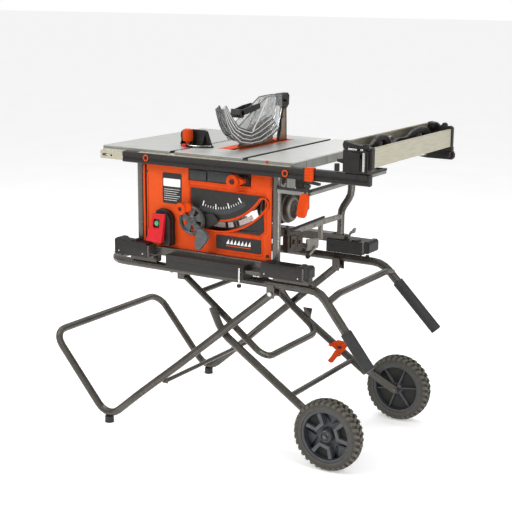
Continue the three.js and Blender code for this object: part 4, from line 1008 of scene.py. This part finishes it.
# ---------------- camera, light and floor
AZIMUTH, ELEVATION, DISTANCE, ROLL = math.radians(31.32), math.radians(13.0), 3.8049, math.radians(0.5)
level = math.cos(ELEVATION)
back = Vector((math.sin(AZIMUTH) * level, -math.cos(AZIMUTH) * level, math.sin(ELEVATION)))
target = at(-5.1, 0, 568.2)
camera = in_scene("camera", bpy.data.cameras.new("camera"))
camera.data.lens = 80.3
camera.data.sensor_width = 36.0
camera.location = target + back * DISTANCE
camera.rotation_mode = "QUATERNION"
camera.rotation_quaternion = (-back).to_track_quat("-Z", "Y") @ Matrix.Rotation(ROLL, 3, "Z").to_quaternion()
bpy.context.scene.camera = camera


def area_light(name, place, aim, size, power, tall=None):
    lamp = in_scene(name, bpy.data.lights.new(name, "AREA"))
    lamp.data.size = size
    if tall:
        lamp.data.shape = "RECTANGLE"
        lamp.data.size_y = tall
    lamp.data.energy = power
    lamp.location = place
    lamp.rotation_mode = "QUATERNION"
    lamp.rotation_quaternion = (Vector(aim) - Vector(place)).to_track_quat("-Z", "Y")


area_light("key", (-1.5, -2.9, 2.5), (0, -0.2, 0.6), 1.3, 64)
area_light("fill", (2.9, -1.7, 1.3), (0.1, 0, 0.5), 1.4, 15)
area_light("top", (-0.8, 0.5, 3.3), (0, 0, 0.8), 1.8, 56)
area_light("strip", (2.3, -0.5, 1.0), (0.1, -0.2, 0.7), 0.16, 16, tall=2.4)
area_light("back", (-0.6, 3.2, 2.2), (0, 0, 0.6), 1.8, 7)

# The studio is white overhead and darker round the sides, which gives tubes and panels their shading.
# The camera itself sees plain white behind the object.
world = bpy.data.worlds.new("studio")
bpy.context.scene.world = world
world.use_nodes = True
links = world.node_tree.links
background = world.node_tree.nodes["Background"]
where = world.node_tree.nodes.new("ShaderNodeTexCoord")
split = world.node_tree.nodes.new("ShaderNodeSeparateXYZ")
links.new(where.outputs["Generated"], split.inputs[0])
links.new(ramp(world.node_tree, split.outputs["Z"],
               [(0.0, (0.42, 0.42, 0.425)), (0.35, (0.62, 0.62, 0.625)), (0.9, (1.0, 1.0, 1.0))]),
          background.inputs["Color"])
background.inputs["Strength"].default_value = 0.8
plain = world.node_tree.nodes.new("ShaderNodeBackground")
plain.inputs["Color"].default_value = (1.0, 1.0, 1.0, 1.0)
plain.inputs["Strength"].default_value = 1.0
choose = world.node_tree.nodes.new("ShaderNodeMixShader")
rays = world.node_tree.nodes.new("ShaderNodeLightPath")
links.new(rays.outputs["Is Camera Ray"], choose.inputs["Fac"])
links.new(background.outputs[0], choose.inputs[1])
links.new(plain.outputs[0], choose.inputs[2])
links.new(choose.outputs[0], world.node_tree.nodes["World Output"].inputs["Surface"])
bpy.context.scene.view_settings.view_transform = "Standard"

floor_mesh = bpy.data.meshes.new("floor")
floor_mesh.from_pydata([(-60, -60, 0), (60, -60, 0), (60, 60, 0), (-60, 60, 0)], [], [(0, 1, 2, 3)])
floor = in_scene("floor", floor_mesh)
floor_mat, floor_tree, floor_bsdf, floor_coords = new_material("pale_floor")
pale = [(0.3, (0.9, 0.9, 0.9)), (0.7, (0.94, 0.94, 0.94))]
floor_tree.links.new(ramp(floor_tree, noise(floor_tree, floor_coords, 3.0), pale),
                     floor_bsdf.inputs["Base Color"])
floor_bsdf.inputs["Roughness"].default_value = 0.9
floor_bsdf.inputs["Specular IOR Level"].default_value = 0.1
floor_bsdf.inputs["Emission Color"].default_value = (1.0, 1.0, 1.0, 1.0)
floor_bsdf.inputs["Emission Strength"].default_value = 0.3
floor.data.materials.append(floor_mat)
